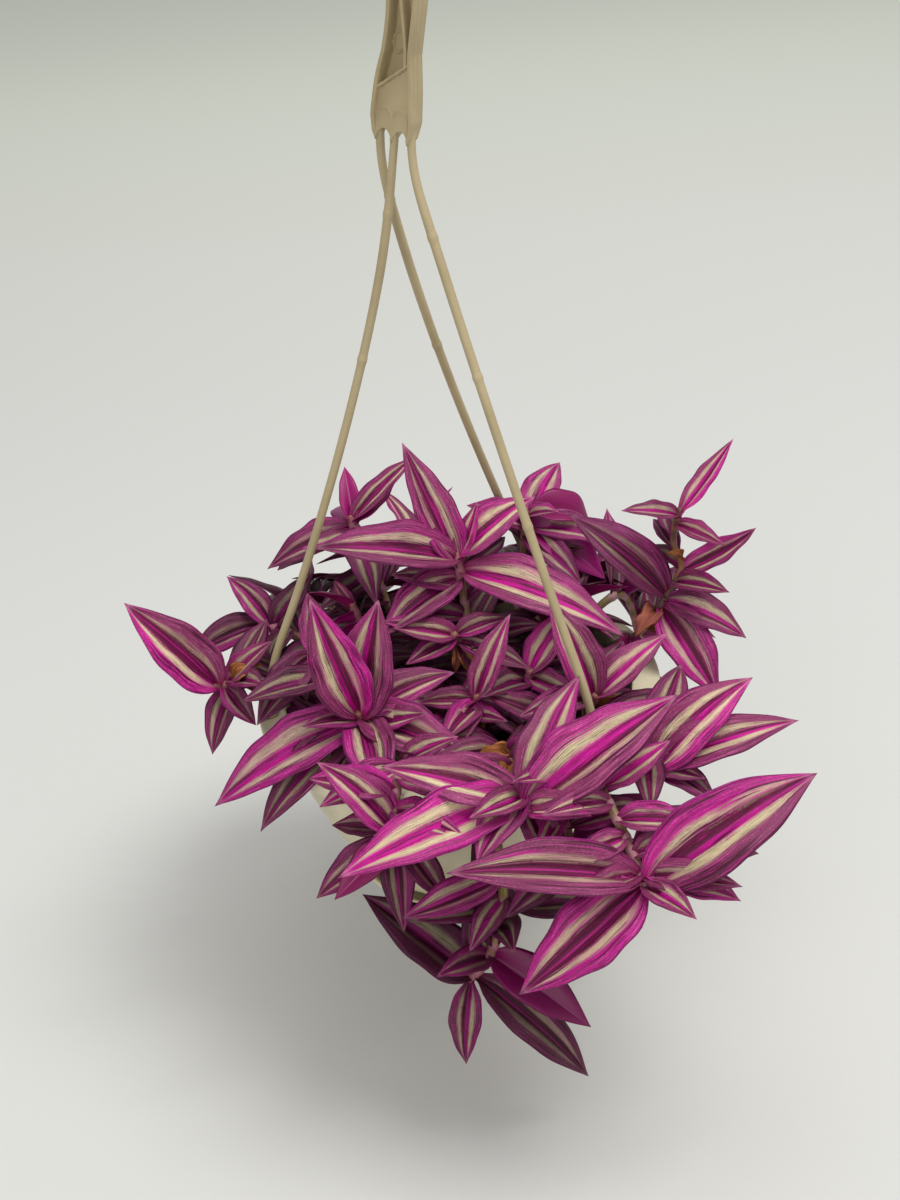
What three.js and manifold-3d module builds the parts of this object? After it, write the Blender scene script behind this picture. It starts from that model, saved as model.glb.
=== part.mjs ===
import * as THREE from 'three';
import { mergeVertices } from 'three/addons/utils/BufferGeometryUtils.js';
import Module from 'manifold-3d';

// A tradescantia in a plastic hanging pot with a drip saucer and a moulded three-strand hanger.
// Millimetres, +Z up. Pieces are laid out about the centre of the pot's rim (z = 0 at its top)
// and then moved together, so that the origin is the inner crown of the hanger's hook.

const wasm = await Module();
wasm.setup();

// Pot
const RIM_RADIUS = 85;
const RIM_DROP = 6;          // height of the turned-down edge of the rim
const RIM_THICK = 2.2;
const LIP_THICK = 1.8;
const LIP_SLANT = 0.6;       // how far the lip's foot stands in from the rim's edge
const EDGE_CHAMFER = 0.9;
const WALL_TOP_RADIUS = 75;  // outside of the wall, just under the rim
const WALL = 2;
const BOWL_FOOT_RADIUS = 50.8;
const BOWL_DEPTH = 73;
const FOOT_RADIUS = 39;
const FOOT_FLARE = 1;
const POT_DEPTH = 86;
const CLIP_RADIUS = 79.6;    // circle through the three strand holes in the rim
const CLIP_HOLE_RADIUS = 2.3;
const CLIP_HOLE_SIDES = 8;
const ROUND_SIDES = 32;

// Saucer
const SAUCER_RADIUS = 52.5;
const SAUCER_RIM_DEPTH = 77.5;
const SAUCER_DEPTH = 88.6;
const SAUCER_FOOT_RADIUS = 41;
const SAUCER_FLOOR_RADIUS = 43;
const SAUCER_CURL = 1.2;     // height of the slope between the saucer's floor and its wall
const SAUCER_BRIM = 3.4;     // width of the flat top of its rim
const SAUCER_BRIM_DROP = 1.8;

// Soil
const SEAT_GAP = 0.3;        // left between pieces that touch
const SOIL_SIDES = 20;
const SOIL_EDGE_DEPTH = 21;
const SOIL_CROWN = 5;        // how much the middle of the soil stands above its edge
const ROOT_DEPTH = 14;
const HOLE_PLAY = 1.2;       // how much wider a hole in the soil is than its stem, each side
const HOLE_SIDES = 6;
const HOLE_RISE = 12;        // how far the cut of a hole runs on above the soil

// Hanger
const STRAND_RADIUS = 1.8;
const STRAND_SIDES = 6;
const STRAND_STEPS = 14;
const STRAND_PARTS = 6;      // points that set a strand's curve
const STRAND_TURN = 20;      // how far above the rim a strand has turned nearly upright
const STRAND_LEAN = 2.5;     // how far in from its clip it stands there
const BARB_RADIUS = 3;
const BARB_POINT_RADIUS = 1.2;
const BARB_LENGTH = 3;
const COLLAR_LENGTH = 1.4;
const HUB_FOOT = [-1.5, 0, 226];
const HUB_TURN = -38;        // degrees about the vertical
const HUB_LEAN = 10;         // degrees to the right, towards the fuller side of the plant
const HUB_WIDTH = 17;
const HUB_DEPTH = 7;
const HUB_HEIGHT = 76;
const HUB_SKIN = 1.6;        // thickness of the hub's side flanges and ribs
const HUB_OVERLAP = 0.5;     // how far the hub's floors and ribs run into its flanges
const FLOOR_BACK = 1;        // where the ribs start, from the back of the hub
const RECESS_DEPTH = 5.4;    // floor of the shallow lower recess, from the back of the hub
const CHANNEL_DEPTH = 2;     // floor of the deep upper channels
const RIB_HEIGHT = 22;       // where the slanted rib parts the recess from the channels
const RIB_SLANT = 4;         // how much that rib rises each side of its middle
const NOTCH_HEIGHT = 4.4;    // of the rounded notch between two strands
const STRAND_PITCH = 6.8;
const HOOK_RADIUS = 10;      // inner radius of the hook
const HOOK_BAR = 5;
const HOOK_SIDES = 8;
const HOOK_STEPS = 12;
const HOOK_SWEEP = 245;      // degrees of the ring that the hook goes round
const NECK = 6;              // bare bar between the hub and the hook's ring
const NECK_ROOT = 5;         // how far the neck runs down into the hub

// Plant
const STEM_RADIUS = 1.9;
const STEM_SIDES = 5;
const STEM_STEP = 11;        // length of one straight piece of a stem
const LEAF_SINK = 3;         // how much stem stands past the base of its last leaf
const BLADE_THICK = 1.4;     // at the midrib; the blade thins to its edges
const LEAF_STATIONS = [0.2, 0.46, 0.76];
const WIDEST_AT = 0.37;      // part of a blade's length at which it is widest
const DEFAULT_BEND = 36;
const LIGHT_AZIMUTH = 270;   // where the light comes from that most leaves turn their faces to
const VIEW_TILT = 29;        // how far the listed view of the plant looks down, degrees
const FACE_TILT = 0.6;       // tangent of how far a face leans from straight up towards its light
const FOLD_AT_BASE = 34;     // how steeply each half of a blade rises from the midrib, degrees
const FOLD_AT_TIP = 10;

const degrees = (angle) => angle * Math.PI / 180;
const vector = (point) => new THREE.Vector3(...point);
const polar = (azimuth, radius, ...height) => [
  radius * Math.cos(degrees(azimuth)), radius * Math.sin(degrees(azimuth)), ...height,
];

function curveThrough(points) {
  return new THREE.CatmullRomCurve3(points.map(vector));
}

// ---------------------------------------------------------------- solids and joins

function toSolid(geometry) {
  const bare = geometry.index ? geometry.toNonIndexed() : geometry.clone();
  bare.deleteAttribute('normal');
  bare.deleteAttribute('uv');
  const merged = mergeVertices(bare, 1e-4);
  return new wasm.Manifold(new wasm.Mesh({
    numProp: 3,
    vertProperties: new Float32Array(merged.attributes.position.array),
    triVerts: new Uint32Array(merged.index.array),
  }));
}

function toGeometry(solid) {
  const mesh = solid.getMesh();
  const geometry = new THREE.BufferGeometry();
  geometry.setAttribute('position', new THREE.BufferAttribute(mesh.vertProperties, 3));
  geometry.setIndex(new THREE.BufferAttribute(mesh.triVerts, 1));
  return geometry;
}

function joined(solids) {
  return solids.reduce((whole, solid) => whole.add(solid));
}

// The one body of a joined solid: a hollow that joining seals is filled, a loose scrap dropped.
function mainBody(solid) {
  return solid.decompose().reduce((best, body) => (body.volume() > best.volume() ? body : best));
}

// ---------------------------------------------------------------- pot, saucer and soil

// Turns a closed (radius, height) outline about the upright axis.
function turned(outline, sides = ROUND_SIDES) {
  const points = outline.map(([radius, height]) => new THREE.Vector2(radius, height));
  const geometry = new THREE.LatheGeometry(points, sides);
  geometry.rotateX(Math.PI / 2);
  return geometry;
}

// An upright cylinder or cone about its middle point.
function upright(topRadius, bottomRadius, height, sides, middle) {
  const geometry = new THREE.CylinderGeometry(topRadius, bottomRadius, height, sides);
  geometry.rotateX(Math.PI / 2);
  geometry.translate(...middle);
  return toSolid(geometry);
}

// The bowl's outside radius at a depth below the rim: full under the rim, round, then drawn in.
function bowlRadius(depth) {
  const down = (depth - RIM_DROP) / (BOWL_DEPTH - RIM_DROP);
  return WALL_TOP_RADIUS - (WALL_TOP_RADIUS - BOWL_FOOT_RADIUS) * down ** 1.7;
}

function bowlLine(inset, from, to, steps) {
  const line = [];
  for (let i = 0; i <= steps; i += 1) {
    const depth = from + (to - from) * i / steps;
    line.push([bowlRadius(depth) - inset, -depth]);
  }
  return line;
}

function potOutline() {
  const foot = [
    [0, -POT_DEPTH],
    [FOOT_RADIUS, -POT_DEPTH],
    [FOOT_RADIUS + FOOT_FLARE, -BOWL_DEPTH - WALL],
    [BOWL_FOOT_RADIUS - FOOT_FLARE, -BOWL_DEPTH - WALL / 3],
  ];
  const outside = bowlLine(0, BOWL_DEPTH, RIM_DROP, 4);
  const rim = [
    [WALL_TOP_RADIUS, -RIM_THICK],
    [RIM_RADIUS - LIP_THICK, -RIM_THICK],
    [RIM_RADIUS - LIP_THICK - LIP_SLANT, -RIM_DROP],
    [RIM_RADIUS - LIP_SLANT, -RIM_DROP],
    [RIM_RADIUS, -EDGE_CHAMFER],
    [RIM_RADIUS - EDGE_CHAMFER, 0],
    [WALL_TOP_RADIUS - WALL, 0],
  ];
  const inside = bowlLine(WALL, RIM_DROP, BOWL_DEPTH - WALL, 3);
  const floor = [
    [FOOT_RADIUS + FOOT_FLARE - WALL, -BOWL_DEPTH],
    [FOOT_RADIUS - WALL, -POT_DEPTH + WALL],
    [0, -POT_DEPTH + WALL],
  ];
  return [...foot, ...outside, ...rim, ...inside, ...floor];
}

function pot() {
  let body = toSolid(turned(potOutline()));
  for (const strand of STRANDS) {
    const middle = clipPoint(strand, -RIM_THICK / 2);
    body = body.subtract(upright(CLIP_HOLE_RADIUS, CLIP_HOLE_RADIUS, 4 * RIM_THICK, CLIP_HOLE_SIDES, middle));
  }
  return toGeometry(body);
}

function saucer() {
  const floor = -POT_DEPTH - SEAT_GAP;
  return turned([
    [0, -SAUCER_DEPTH],
    [SAUCER_FOOT_RADIUS, -SAUCER_DEPTH],
    [SAUCER_RADIUS - 1.5 * SAUCER_BRIM, -SAUCER_DEPTH + SAUCER_CURL],
    [SAUCER_RADIUS - SAUCER_BRIM / 2, -SAUCER_RIM_DEPTH - SAUCER_BRIM_DROP - 1],
    [SAUCER_RADIUS, -SAUCER_RIM_DEPTH - SAUCER_BRIM_DROP],
    [SAUCER_RADIUS, -SAUCER_RIM_DEPTH],
    [SAUCER_RADIUS - SAUCER_BRIM, -SAUCER_RIM_DEPTH],
    [SAUCER_RADIUS - 2 * SAUCER_BRIM, floor + SAUCER_CURL],
    [SAUCER_FLOOR_RADIUS, floor],
    [0, floor],
  ]);
}

// The height of the soil's top, domed a little to the middle.
function soilTop(x, y) {
  const edge = bowlRadius(SOIL_EDGE_DEPTH) - WALL;
  return -SOIL_EDGE_DEPTH + SOIL_CROWN * (1 - (x * x + y * y) / (edge * edge));
}

function soil() {
  const inset = WALL + SEAT_GAP;
  const play = 2 * SEAT_GAP;
  const floor = [
    [0, -POT_DEPTH + inset],
    [FOOT_RADIUS - WALL - play, -POT_DEPTH + inset],
    [FOOT_RADIUS + FOOT_FLARE - WALL - play, -BOWL_DEPTH + SEAT_GAP],
  ];
  const side = bowlLine(inset + play, BOWL_DEPTH - inset, SOIL_EDGE_DEPTH, 3);
  const edge = side[side.length - 1][0];
  const top = [0.75, 0.45, 0].map((part) => [edge * part, soilTop(edge * part, 0)]);
  let body = toSolid(turned([...floor, ...side, ...top], SOIL_SIDES));
  const radius = STEM_RADIUS + HOLE_PLAY;
  const depth = ROOT_DEPTH + SEAT_GAP;
  for (const [x, y] of allRoots()) {
    const middle = [x, y, soilTop(x, y) + (HOLE_RISE - depth) / 2];
    body = body.subtract(upright(radius, radius, depth + HOLE_RISE, HOLE_SIDES, middle));
  }
  return toGeometry(body);
}

// ---------------------------------------------------------------- hanger

// Left, right and back strands: each leaves the hub at its own place across the width and bows
// out to its hole in the rim.
// Flare is how a strand spreads: it has gone out by part ** flare when it has come down by part.
const STRANDS = [
  { azimuth: 187, across: 0, flare: 1.3 },
  { azimuth: 310, across: STRAND_PITCH, flare: 1.1 },
  { azimuth: 61, across: -STRAND_PITCH, flare: 1.3 },
];

function clipPoint(strand, height) {
  return polar(strand.azimuth, CLIP_RADIUS, height);
}

const HUB_PLACE = new THREE.Matrix4().makeTranslation(...HUB_FOOT)
  .multiply(new THREE.Matrix4().makeRotationY(degrees(HUB_LEAN)))
  .multiply(new THREE.Matrix4().makeRotationZ(degrees(HUB_TURN)));

function hubPoint(across, out, up) {
  return new THREE.Vector3(across, -out, up).applyMatrix4(HUB_PLACE);
}

// Places a shape drawn across (x), out of the hub's face (y) and up the hub (z).
function onHub(geometry) {
  geometry.applyMatrix4(HUB_PLACE);
  return toSolid(geometry);
}

// A flat outline in (across, up), given a depth from the back of the hub towards its face.
function hubPlate(outline, from, to) {
  const shape = new THREE.Shape(outline.map(([x, z]) => new THREE.Vector2(x, z)));
  const geometry = new THREE.ExtrudeGeometry(shape, { depth: to - from, bevelEnabled: false });
  geometry.rotateX(Math.PI / 2);
  geometry.translate(0, -from, 0);
  return onHub(geometry);
}

// The hub's right edge, foot to top: a waist above the strands, then drawn in to the hook.
const HUB_EDGE = [
  [HUB_WIDTH / 2 - 0.5, 0],
  [HUB_WIDTH / 2 + 0.3, 8],
  [HUB_WIDTH / 2 - 0.4, 18],
  [HUB_WIDTH / 2 - 1.9, 30],
  [HUB_WIDTH / 2 - 1, 50],
  [HOOK_BAR / 2 + 0.2, HUB_HEIGHT],
];

function hubFlange(side) {
  const outer = HUB_EDGE.map(([x, z]) => [side * x, z]);
  const inner = HUB_EDGE.map(([x, z]) => [side * (x - HUB_SKIN), z]).reverse();
  return hubPlate([...outer, ...inner], 0, HUB_DEPTH);
}

// A rounded notch in the hub's foot, between two strands.
function notch(across) {
  const half = STRAND_PITCH / 2 - STRAND_RADIUS - SEAT_GAP;
  const shoulder = 0.7;
  return [
    [across - half, 0],
    [across - half * shoulder, NOTCH_HEIGHT * shoulder],
    [across, NOTCH_HEIGHT],
    [across + half * shoulder, NOTCH_HEIGHT * shoulder],
    [across + half, 0],
  ];
}

function hubFloors() {
  const inside = HUB_WIDTH / 2 - 1;
  const notches = [...notch(-STRAND_PITCH / 2), ...notch(STRAND_PITCH / 2)];
  const top = RIB_HEIGHT + HUB_SKIN / 2;
  const left = HUB_EDGE.slice(2).map(([x, z]) => [HUB_OVERLAP - x, z]);
  const right = HUB_EDGE.slice(2).map(([x, z]) => [x - HUB_OVERLAP, z]).reverse();
  return [
    hubPlate([
      [-inside, 0], ...notches, [inside, 0],
      [inside, top + RIB_SLANT], [-inside, top - RIB_SLANT],
    ], 0, RECESS_DEPTH),
    hubPlate([...left, ...right], 0, CHANNEL_DEPTH),
  ];
}

function hubRibs() {
  const inside = HUB_WIDTH / 2 - 1;
  const low = RIB_HEIGHT - RIB_SLANT;
  const high = RIB_HEIGHT + RIB_SLANT;
  const half = HUB_SKIN / 2;
  const slanted = [[-inside, low], [inside, high], [inside, high + HUB_SKIN], [-inside, low + HUB_SKIN]];
  const middle = [[1, RIB_HEIGHT], [1 + HUB_SKIN, RIB_HEIGHT], [half, HUB_HEIGHT], [-half, HUB_HEIGHT]];
  return [slanted, middle].map((outline) => hubPlate(outline, FLOOR_BACK, HUB_DEPTH - HUB_OVERLAP));
}

// The hook: a neck up from the hub, then a ring of the same bar, open beside the neck.
const HOOK_MIDDLE = HOOK_RADIUS + HOOK_BAR / 2;
const HOOK_CENTRE = HUB_HEIGHT + NECK + HOOK_MIDDLE;

class HookCurve extends THREE.Curve {
  getPoint(part, target = new THREE.Vector3()) {
    const angle = degrees(270 - part * HOOK_SWEEP);
    return target.set(HOOK_MIDDLE * Math.cos(angle), 0, HOOK_MIDDLE * Math.sin(angle));
  }
}

function hook() {
  const section = ring(HOOK_BAR / 2, HOOK_SIDES);
  const bar = new THREE.ExtrudeGeometry(section, { steps: HOOK_STEPS, extrudePath: new HookCurve() });
  bar.translate(0, -HUB_DEPTH / 2, HOOK_CENTRE);
  const neck = new THREE.CylinderGeometry(HOOK_BAR / 2, HOOK_BAR / 2, NECK + NECK_ROOT, HOOK_SIDES);
  neck.rotateX(Math.PI / 2);
  neck.translate(0, -HUB_DEPTH / 2, HUB_HEIGHT + (NECK - NECK_ROOT) / 2);
  return [onHub(bar), onHub(neck)];
}

function ring(radius, sides) {
  const points = [];
  for (let i = 0; i < sides; i += 1) {
    const angle = 2 * Math.PI * i / sides;
    points.push(new THREE.Vector2(radius * Math.cos(angle), radius * Math.sin(angle)));
  }
  return new THREE.Shape(points);
}

// A strand starts inside the hub's foot and ends in a hole of the rim.
function strandCurve(strand) {
  const root = (up) => hubPoint(strand.across, HUB_DEPTH / 2, up);
  const from = root(-3);
  const to = new THREE.Vector3(...polar(strand.azimuth, CLIP_RADIUS - STRAND_LEAN, STRAND_TURN));
  const route = [];
  for (let i = 1; i <= STRAND_PARTS; i += 1) {
    const down = i / STRAND_PARTS;
    const out = down ** strand.flare;
    route.push([
      from.x + (to.x - from.x) * out, from.y + (to.y - from.y) * out, from.z + (to.z - from.z) * down,
    ]);
  }
  return curveThrough([
    root(8).toArray(), from.toArray(), ...route, clipPoint(strand, 4), clipPoint(strand, -4),
  ]);
}

function strandSolid(strand) {
  const section = ring(STRAND_RADIUS, STRAND_SIDES);
  const rod = new THREE.ExtrudeGeometry(section, { steps: STRAND_STEPS, extrudePath: strandCurve(strand) });
  const barb = clipPoint(strand, -RIM_THICK - SEAT_GAP - BARB_LENGTH / 2);
  const collar = clipPoint(strand, SEAT_GAP + COLLAR_LENGTH / 2);
  return joined([
    toSolid(rod),
    upright(BARB_RADIUS, BARB_POINT_RADIUS, BARB_LENGTH, STRAND_SIDES, barb),
    upright(BARB_RADIUS, BARB_RADIUS, COLLAR_LENGTH, STRAND_SIDES, collar),
  ]);
}

function hanger() {
  const hub = [hubFlange(1), hubFlange(-1), ...hubFloors(), ...hubRibs()];
  return toGeometry(mainBody(joined([...hub, ...hook(), ...STRANDS.map(strandSolid)])));
}

// ---------------------------------------------------------------- leaves and stems

// A leaf is [back, heading, rise, length, width, bend, roll]: how far behind the tip of its stem
// it grows, which way it points (0 is +X, 90 is +Y), how steeply it rises from its base to its
// tip, its size, how far it turns downwards over its length, and its turn about its own line.
// The leaves under seen are listed as someone sees them who stands in front of the plant and
// looks down on it by VIEW_TILT. For these the second value is the way they point across that
// view (0 is right, 90 is up), and the third is how far they lean out of it, towards the viewer.
const PLANTS = {
  stem_crown: [
    {
      path: [[8, 6], [8, 12, 8], [6, 20, 30], [5, 25, 50]],
      seen: [
        [1, 170, 25, 65, 26], [4, 110, 10, 58, 20, 20], [0, 35, 0, 42, 20], [6, 335, 15, 75, 26],
        [9, 210, 25, 46, 22], [0, 65, 15, 26, 10, 15],
      ],
    },
    {
      path: [[45], [3, 6, 14], [0, 0, 25]],
      seen: [
        [0, 165, 20, 28, 14], [2, 200, 25, 26, 12], [0, 15, 0, 24, 12], [3, 335, 15, 34, 14],
        [5, 305, 15, 20, 10],
      ],
    },
  ],
  stem_left: [
    {
      path: [[-38, -22], [-39, -34, 2], [-40, -45, 20]],
      seen: [
        [0, 105, 30, 56, 24, 20, -10], [2, 75, 20, 50, 26, 20, 10], [3, 335, 20, 48, 24],
        [5, 205, 10, 66, 26], [8, 220, 10, 58, 20, 55], [10, 235, 40, 28, 14], [6, 280, 45, 48, 22, 60],
        [2, 20, -10, 42, 18],
      ],
    },
    {
      path: [[42], [-50, -24, 14], [-58, -12, 32]],
      seen: [[0, 225, 20, 38, 18, 30, -10]],
      leaves: [[3, 95, 40, 30, 14], [6, 100, -5, 26, 12]],
    },
  ],
  stem_far_left: [
    {
      path: [[-56, 6], [-66, 4, 7], [-84, -1, 11], [-100, -15, 20]],
      seen: [[0, 130, 30, 54, 24, 30, -20], [3, 305, 15, 22, 12], [5, 40, 0, 26, 12]],
      leaves: [[8, 240, -45, 30, 14], [10, 60, 30, 32, 14]],
    },
  ],
  stem_left_back: [
    {
      path: [[-50, 24], [-60, 29, 8], [-85, 35, 20]],
      seen: [
        [0, 200, 15, 36, 18], [2, 240, 10, 34, 16], [4, 125, 0, 30, 14], [3, 195, -15, 26, 14],
        [5, 50, 5, 30, 14],
      ],
      leaves: [[7, 150, -25, 30, 14]],
    },
  ],
  stem_top_left: [
    {
      path: [[-22, 38], [-26, 42, 10], [-33, 47, 38], [-40, 50, 60]],
      seen: [
        [0, 40, 5, 40, 12], [1, 95, -10, 26, 10], [3, 200, 5, 42, 18], [4, 200, -25, 44, 18],
        [2, 45, -15, 32, 14],
      ],
      leaves: [[7, 280, -15, 44, 18], [9, 120, -10, 40, 16], [14, 320, 0, 40, 16]],
    },
  ],
  stem_top_right: [
    {
      path: [[26, 32], [29, 38, 12], [34, 44, 36], [38, 48, 55]],
      seen: [[0, 345, -30, 34, 20, 110], [3, 320, 0, 42, 22], [5, 155, 20, 30, 16]],
      leaves: [[1, 300, 25, 26, 12], [4, 60, 20, 40, 18], [9, 305, -15, 38, 16]],
    },
  ],
  stem_tall: [
    {
      path: [[58, 20], [66, 17, 0], [80, 12, 10], [92, 14, 26], [98, 15, 38], [95, 15, 50], [98, 15, 65]],
      seen: [
        [0, 50, 10, 38, 10, -30], [1, 170, 20, 26, 10, 50], [28, 25, 30, 40, 14, -30],
        [42, 330, 10, 38, 18], [45, 295, 15, 46, 24], [40, 135, 5, 54, 24],
      ],
      leaves: [[64, 250, -10, 26, 12]],
    },
  ],
  stem_right: [
    {
      path: [[46, -34], [56, -48, 6], [66, -63, 9], [70, -80, 0]],
      seen: [
        [0, 40, 5, 52, 24], [2, 15, 10, 58, 20], [0, 90, -5, 22, 12], [6, 260, 50, 28, 14],
        [3, 340, 35, 24, 12], [5, 325, 25, 32, 14],
      ],
      leaves: [[8, 60, 20, 44, 18]],
    },
    {
      path: [[52], [50, -36, 4], [54, -40, 14]],
      seen: [[0, 110, 10, 44, 20], [2, 185, 20, 32, 14]],
      leaves: [[1, 20, 30, 40, 16], [3, 60, 10, 38, 16]],
    },
  ],
  stem_middle: [
    {
      path: [[6, -22], [6, -23, 0], [7, -25, 10]],
      seen: [[0, 320, 10, 38, 16], [1, 175, 5, 24, 12], [0, 65, 10, 38, 14]],
      leaves: [[2, 240, -10, 34, 14]],
    },
  ],
  stem_middle_right: [
    {
      path: [[30, -6], [29, -8, 0], [30, -10, 10]],
      seen: [[0, 50, 0, 36, 16]],
      leaves: [[1, 65, 20, 30, 14], [2, 310, 0, 32, 14]],
    },
  ],
  stem_front: [
    {
      path: [[14, -48], [15, -64, 6], [18, -84, 10], [20, -100, 3]],
      seen: [
        [0, 30, 0, 70, 30], [2, 60, -20, 55, 20, 30], [5, 195, 15, 74, 26], [0, 355, 35, 28, 14],
        [6, 225, 40, 36, 18], [3, 160, 5, 54, 22],
      ],
      leaves: [[8, 300, -40, 38, 16]],
    },
  ],
  stem_lower_right: [
    {
      path: [[33, -46], [38, -62, 6], [46, -86, 9], [55, -110, -4], [60, -125, -18]],
      seen: [
        [0, 30, 0, 74, 32], [3, 170, 10, 72, 24], [1, 215, 10, 60, 28], [4, 355, 20, 36, 14],
        [0, 330, 55, 28, 12], [8, 0, -15, 48, 18], [6, 340, 0, 38, 16],
      ],
      leaves: [[14, 30, 0, 38, 16]],
    },
  ],
  stem_trailing: [
    {
      path: [
        [2, -50], [4, -70, 7], [7, -90, 6], [9, -104, -12], [8, -106, -34], [2, -107, -54], [-8, -106, -68],
      ],
      seen: [
        [0, 135, 10, 54, 24], [0, 260, -5, 34, 14], [2, 310, -15, 66, 20], [14, 320, 15, 46, 20],
        [38, 180, 25, 36, 16],
      ],
      leaves: [[36, 20, -20, 40, 16], [50, 200, -5, 40, 16]],
    },
  ],
  stem_lower_left: [
    {
      path: [[-22, -44], [-24, -64, 7], [-27, -84, 8], [-30, -92, -12]],
      seen: [[0, 210, 0, 36, 16], [2, 220, 15, 32, 14], [4, 130, 10, 40, 18], [1, 30, 0, 26, 14]],
      leaves: [[3, 270, -50, 36, 14], [6, 315, -45, 36, 14]],
    },
  ],
  stem_front_low: [
    {
      path: [[24, -50], [27, -68, 7], [32, -90, 5], [37, -102, -20]],
      leaves: [[0, 220, -10, 36, 16], [2, 340, -10, 44, 18], [4, 30, 10, 40, 16]],
    },
  ],
};

// The heading and rise of a leaf that is listed as it is seen: its line has a part across the
// view, a part up it and a part out of it, and the view is tilted back to the plant's own axes.
function fromView([back, turn, lean, ...size]) {
  const tilt = degrees(VIEW_TILT);
  const across = Math.cos(degrees(lean)) * Math.cos(degrees(turn));
  const up = Math.cos(degrees(lean)) * Math.sin(degrees(turn));
  const out = Math.sin(degrees(lean));
  const away = up * Math.sin(tilt) - out * Math.cos(tilt);
  const high = up * Math.cos(tilt) + out * Math.sin(tilt);
  return [back, Math.atan2(away, across) * 180 / Math.PI, Math.asin(high) * 180 / Math.PI, ...size];
}

for (const stem of Object.values(PLANTS).flat()) {
  stem.leaves = [...(stem.seen ?? []).map(fromView), ...(stem.leaves ?? [])];
}

// A repeatable draw between two limits, by the multiplicative rule 16807 n mod (2^31 - 1).
function makeDraw(seed) {
  let state = seed;
  return (low, high) => {
    state = (state * 16807) % 2147483647;
    return low + (high - low) * state / 2147483647;
  };
}

// The leaves of a drawn stem, set alternately to its two sides and round its tip.
function drawnLeaves(azimuth, size, draw) {
  const pattern = [
    [0, 32, 30, 0.8], [2, -38, 34, 0.72], [5, 66, 8, 0.95], [8, -64, 4, 0.95], [12, 4, -16, 1.08],
    [15, 140, 40, 0.8],
  ];
  return pattern.map(([back, aside, rise, part]) => {
    const length = size * part * draw(0.88, 1.12);
    const heading = azimuth + aside + draw(-14, 14);
    const climb = rise + draw(-10, 10);
    return [back, heading, climb, length, length * draw(0.37, 0.43)];
  });
}

// Stems that hang out over the back and sides of the rim: azimuth and height of the tip. The seed
// of a stem's draw is its number.
const OUTER_LEAF = 52;
const OUTER_STEMS = [[28, -22], [43, 2], [76, -22], [98, 12], [117, -22], [133, -6]];
OUTER_STEMS.forEach(([azimuth, height], i) => {
  const draw = makeDraw(i + 1);
  const path = [
    polar(azimuth, 54), polar(azimuth, 66, 6), polar(azimuth, 86, 13),
    polar(azimuth, 102 + draw(-4, 4), height),
  ];
  PLANTS[`stem_outer_${i + 1}`] = [{ path, light: azimuth, leaves: drawnLeaves(azimuth, OUTER_LEAF, draw) }];
});

// Stems that stand up in the middle of the pot: azimuth, radius and height of the tip, and length
// of a leaf.
const INNER_STEMS = [[90, 44, 30, 30], [160, 44, 36, 30], [190, 38, 16, 26], [24, 55, 26, 32]];
INNER_STEMS.forEach(([azimuth, radius, height, size], i) => {
  const draw = makeDraw(i + 1);
  const path = [
    polar(azimuth, radius - 8), polar(azimuth, radius - 5, height / 3), polar(azimuth, radius, height),
  ];
  PLANTS[`stem_inner_${i + 1}`] = [{ path, light: azimuth, leaves: drawnLeaves(azimuth, size, draw) }];
});

// A stem is rooted in the soil at the (x, y) that its path starts with, and is upright at first.
// One whose path starts with a single length branches off its plant's first stem, that far
// behind its tip.
function stemCurve(stem, firstStem) {
  const [start, ...rest] = stem.path;
  if (start.length === 1) {
    const trunk = stemCurve(firstStem);
    const fork = trunk.getPointAt(1 - start[0] / trunk.getLength());
    return curveThrough([fork.toArray(), ...rest]);
  }
  const [x, y] = start;
  const ground = soilTop(x, y);
  return curveThrough([
    [x, y, ground - ROOT_DEPTH], [x, y, ground - ROOT_DEPTH / 2], [x, y, ground + 1], ...rest,
  ]);
}

function allRoots() {
  return Object.values(PLANTS).flat().map((stem) => stem.path[0]).filter((start) => start.length === 2);
}

// The blade's outline, 1 at its widest: round where it clasps the stem, drawn to a point.
function outlineAt(part) {
  return (part / WIDEST_AT) ** 0.65 * ((1 - part) / (1 - WIDEST_AT)) ** 1.1;
}

function headingVector(azimuth, rise) {
  return vector([...polar(azimuth, Math.cos(degrees(rise))), Math.sin(degrees(rise))]);
}

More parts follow.
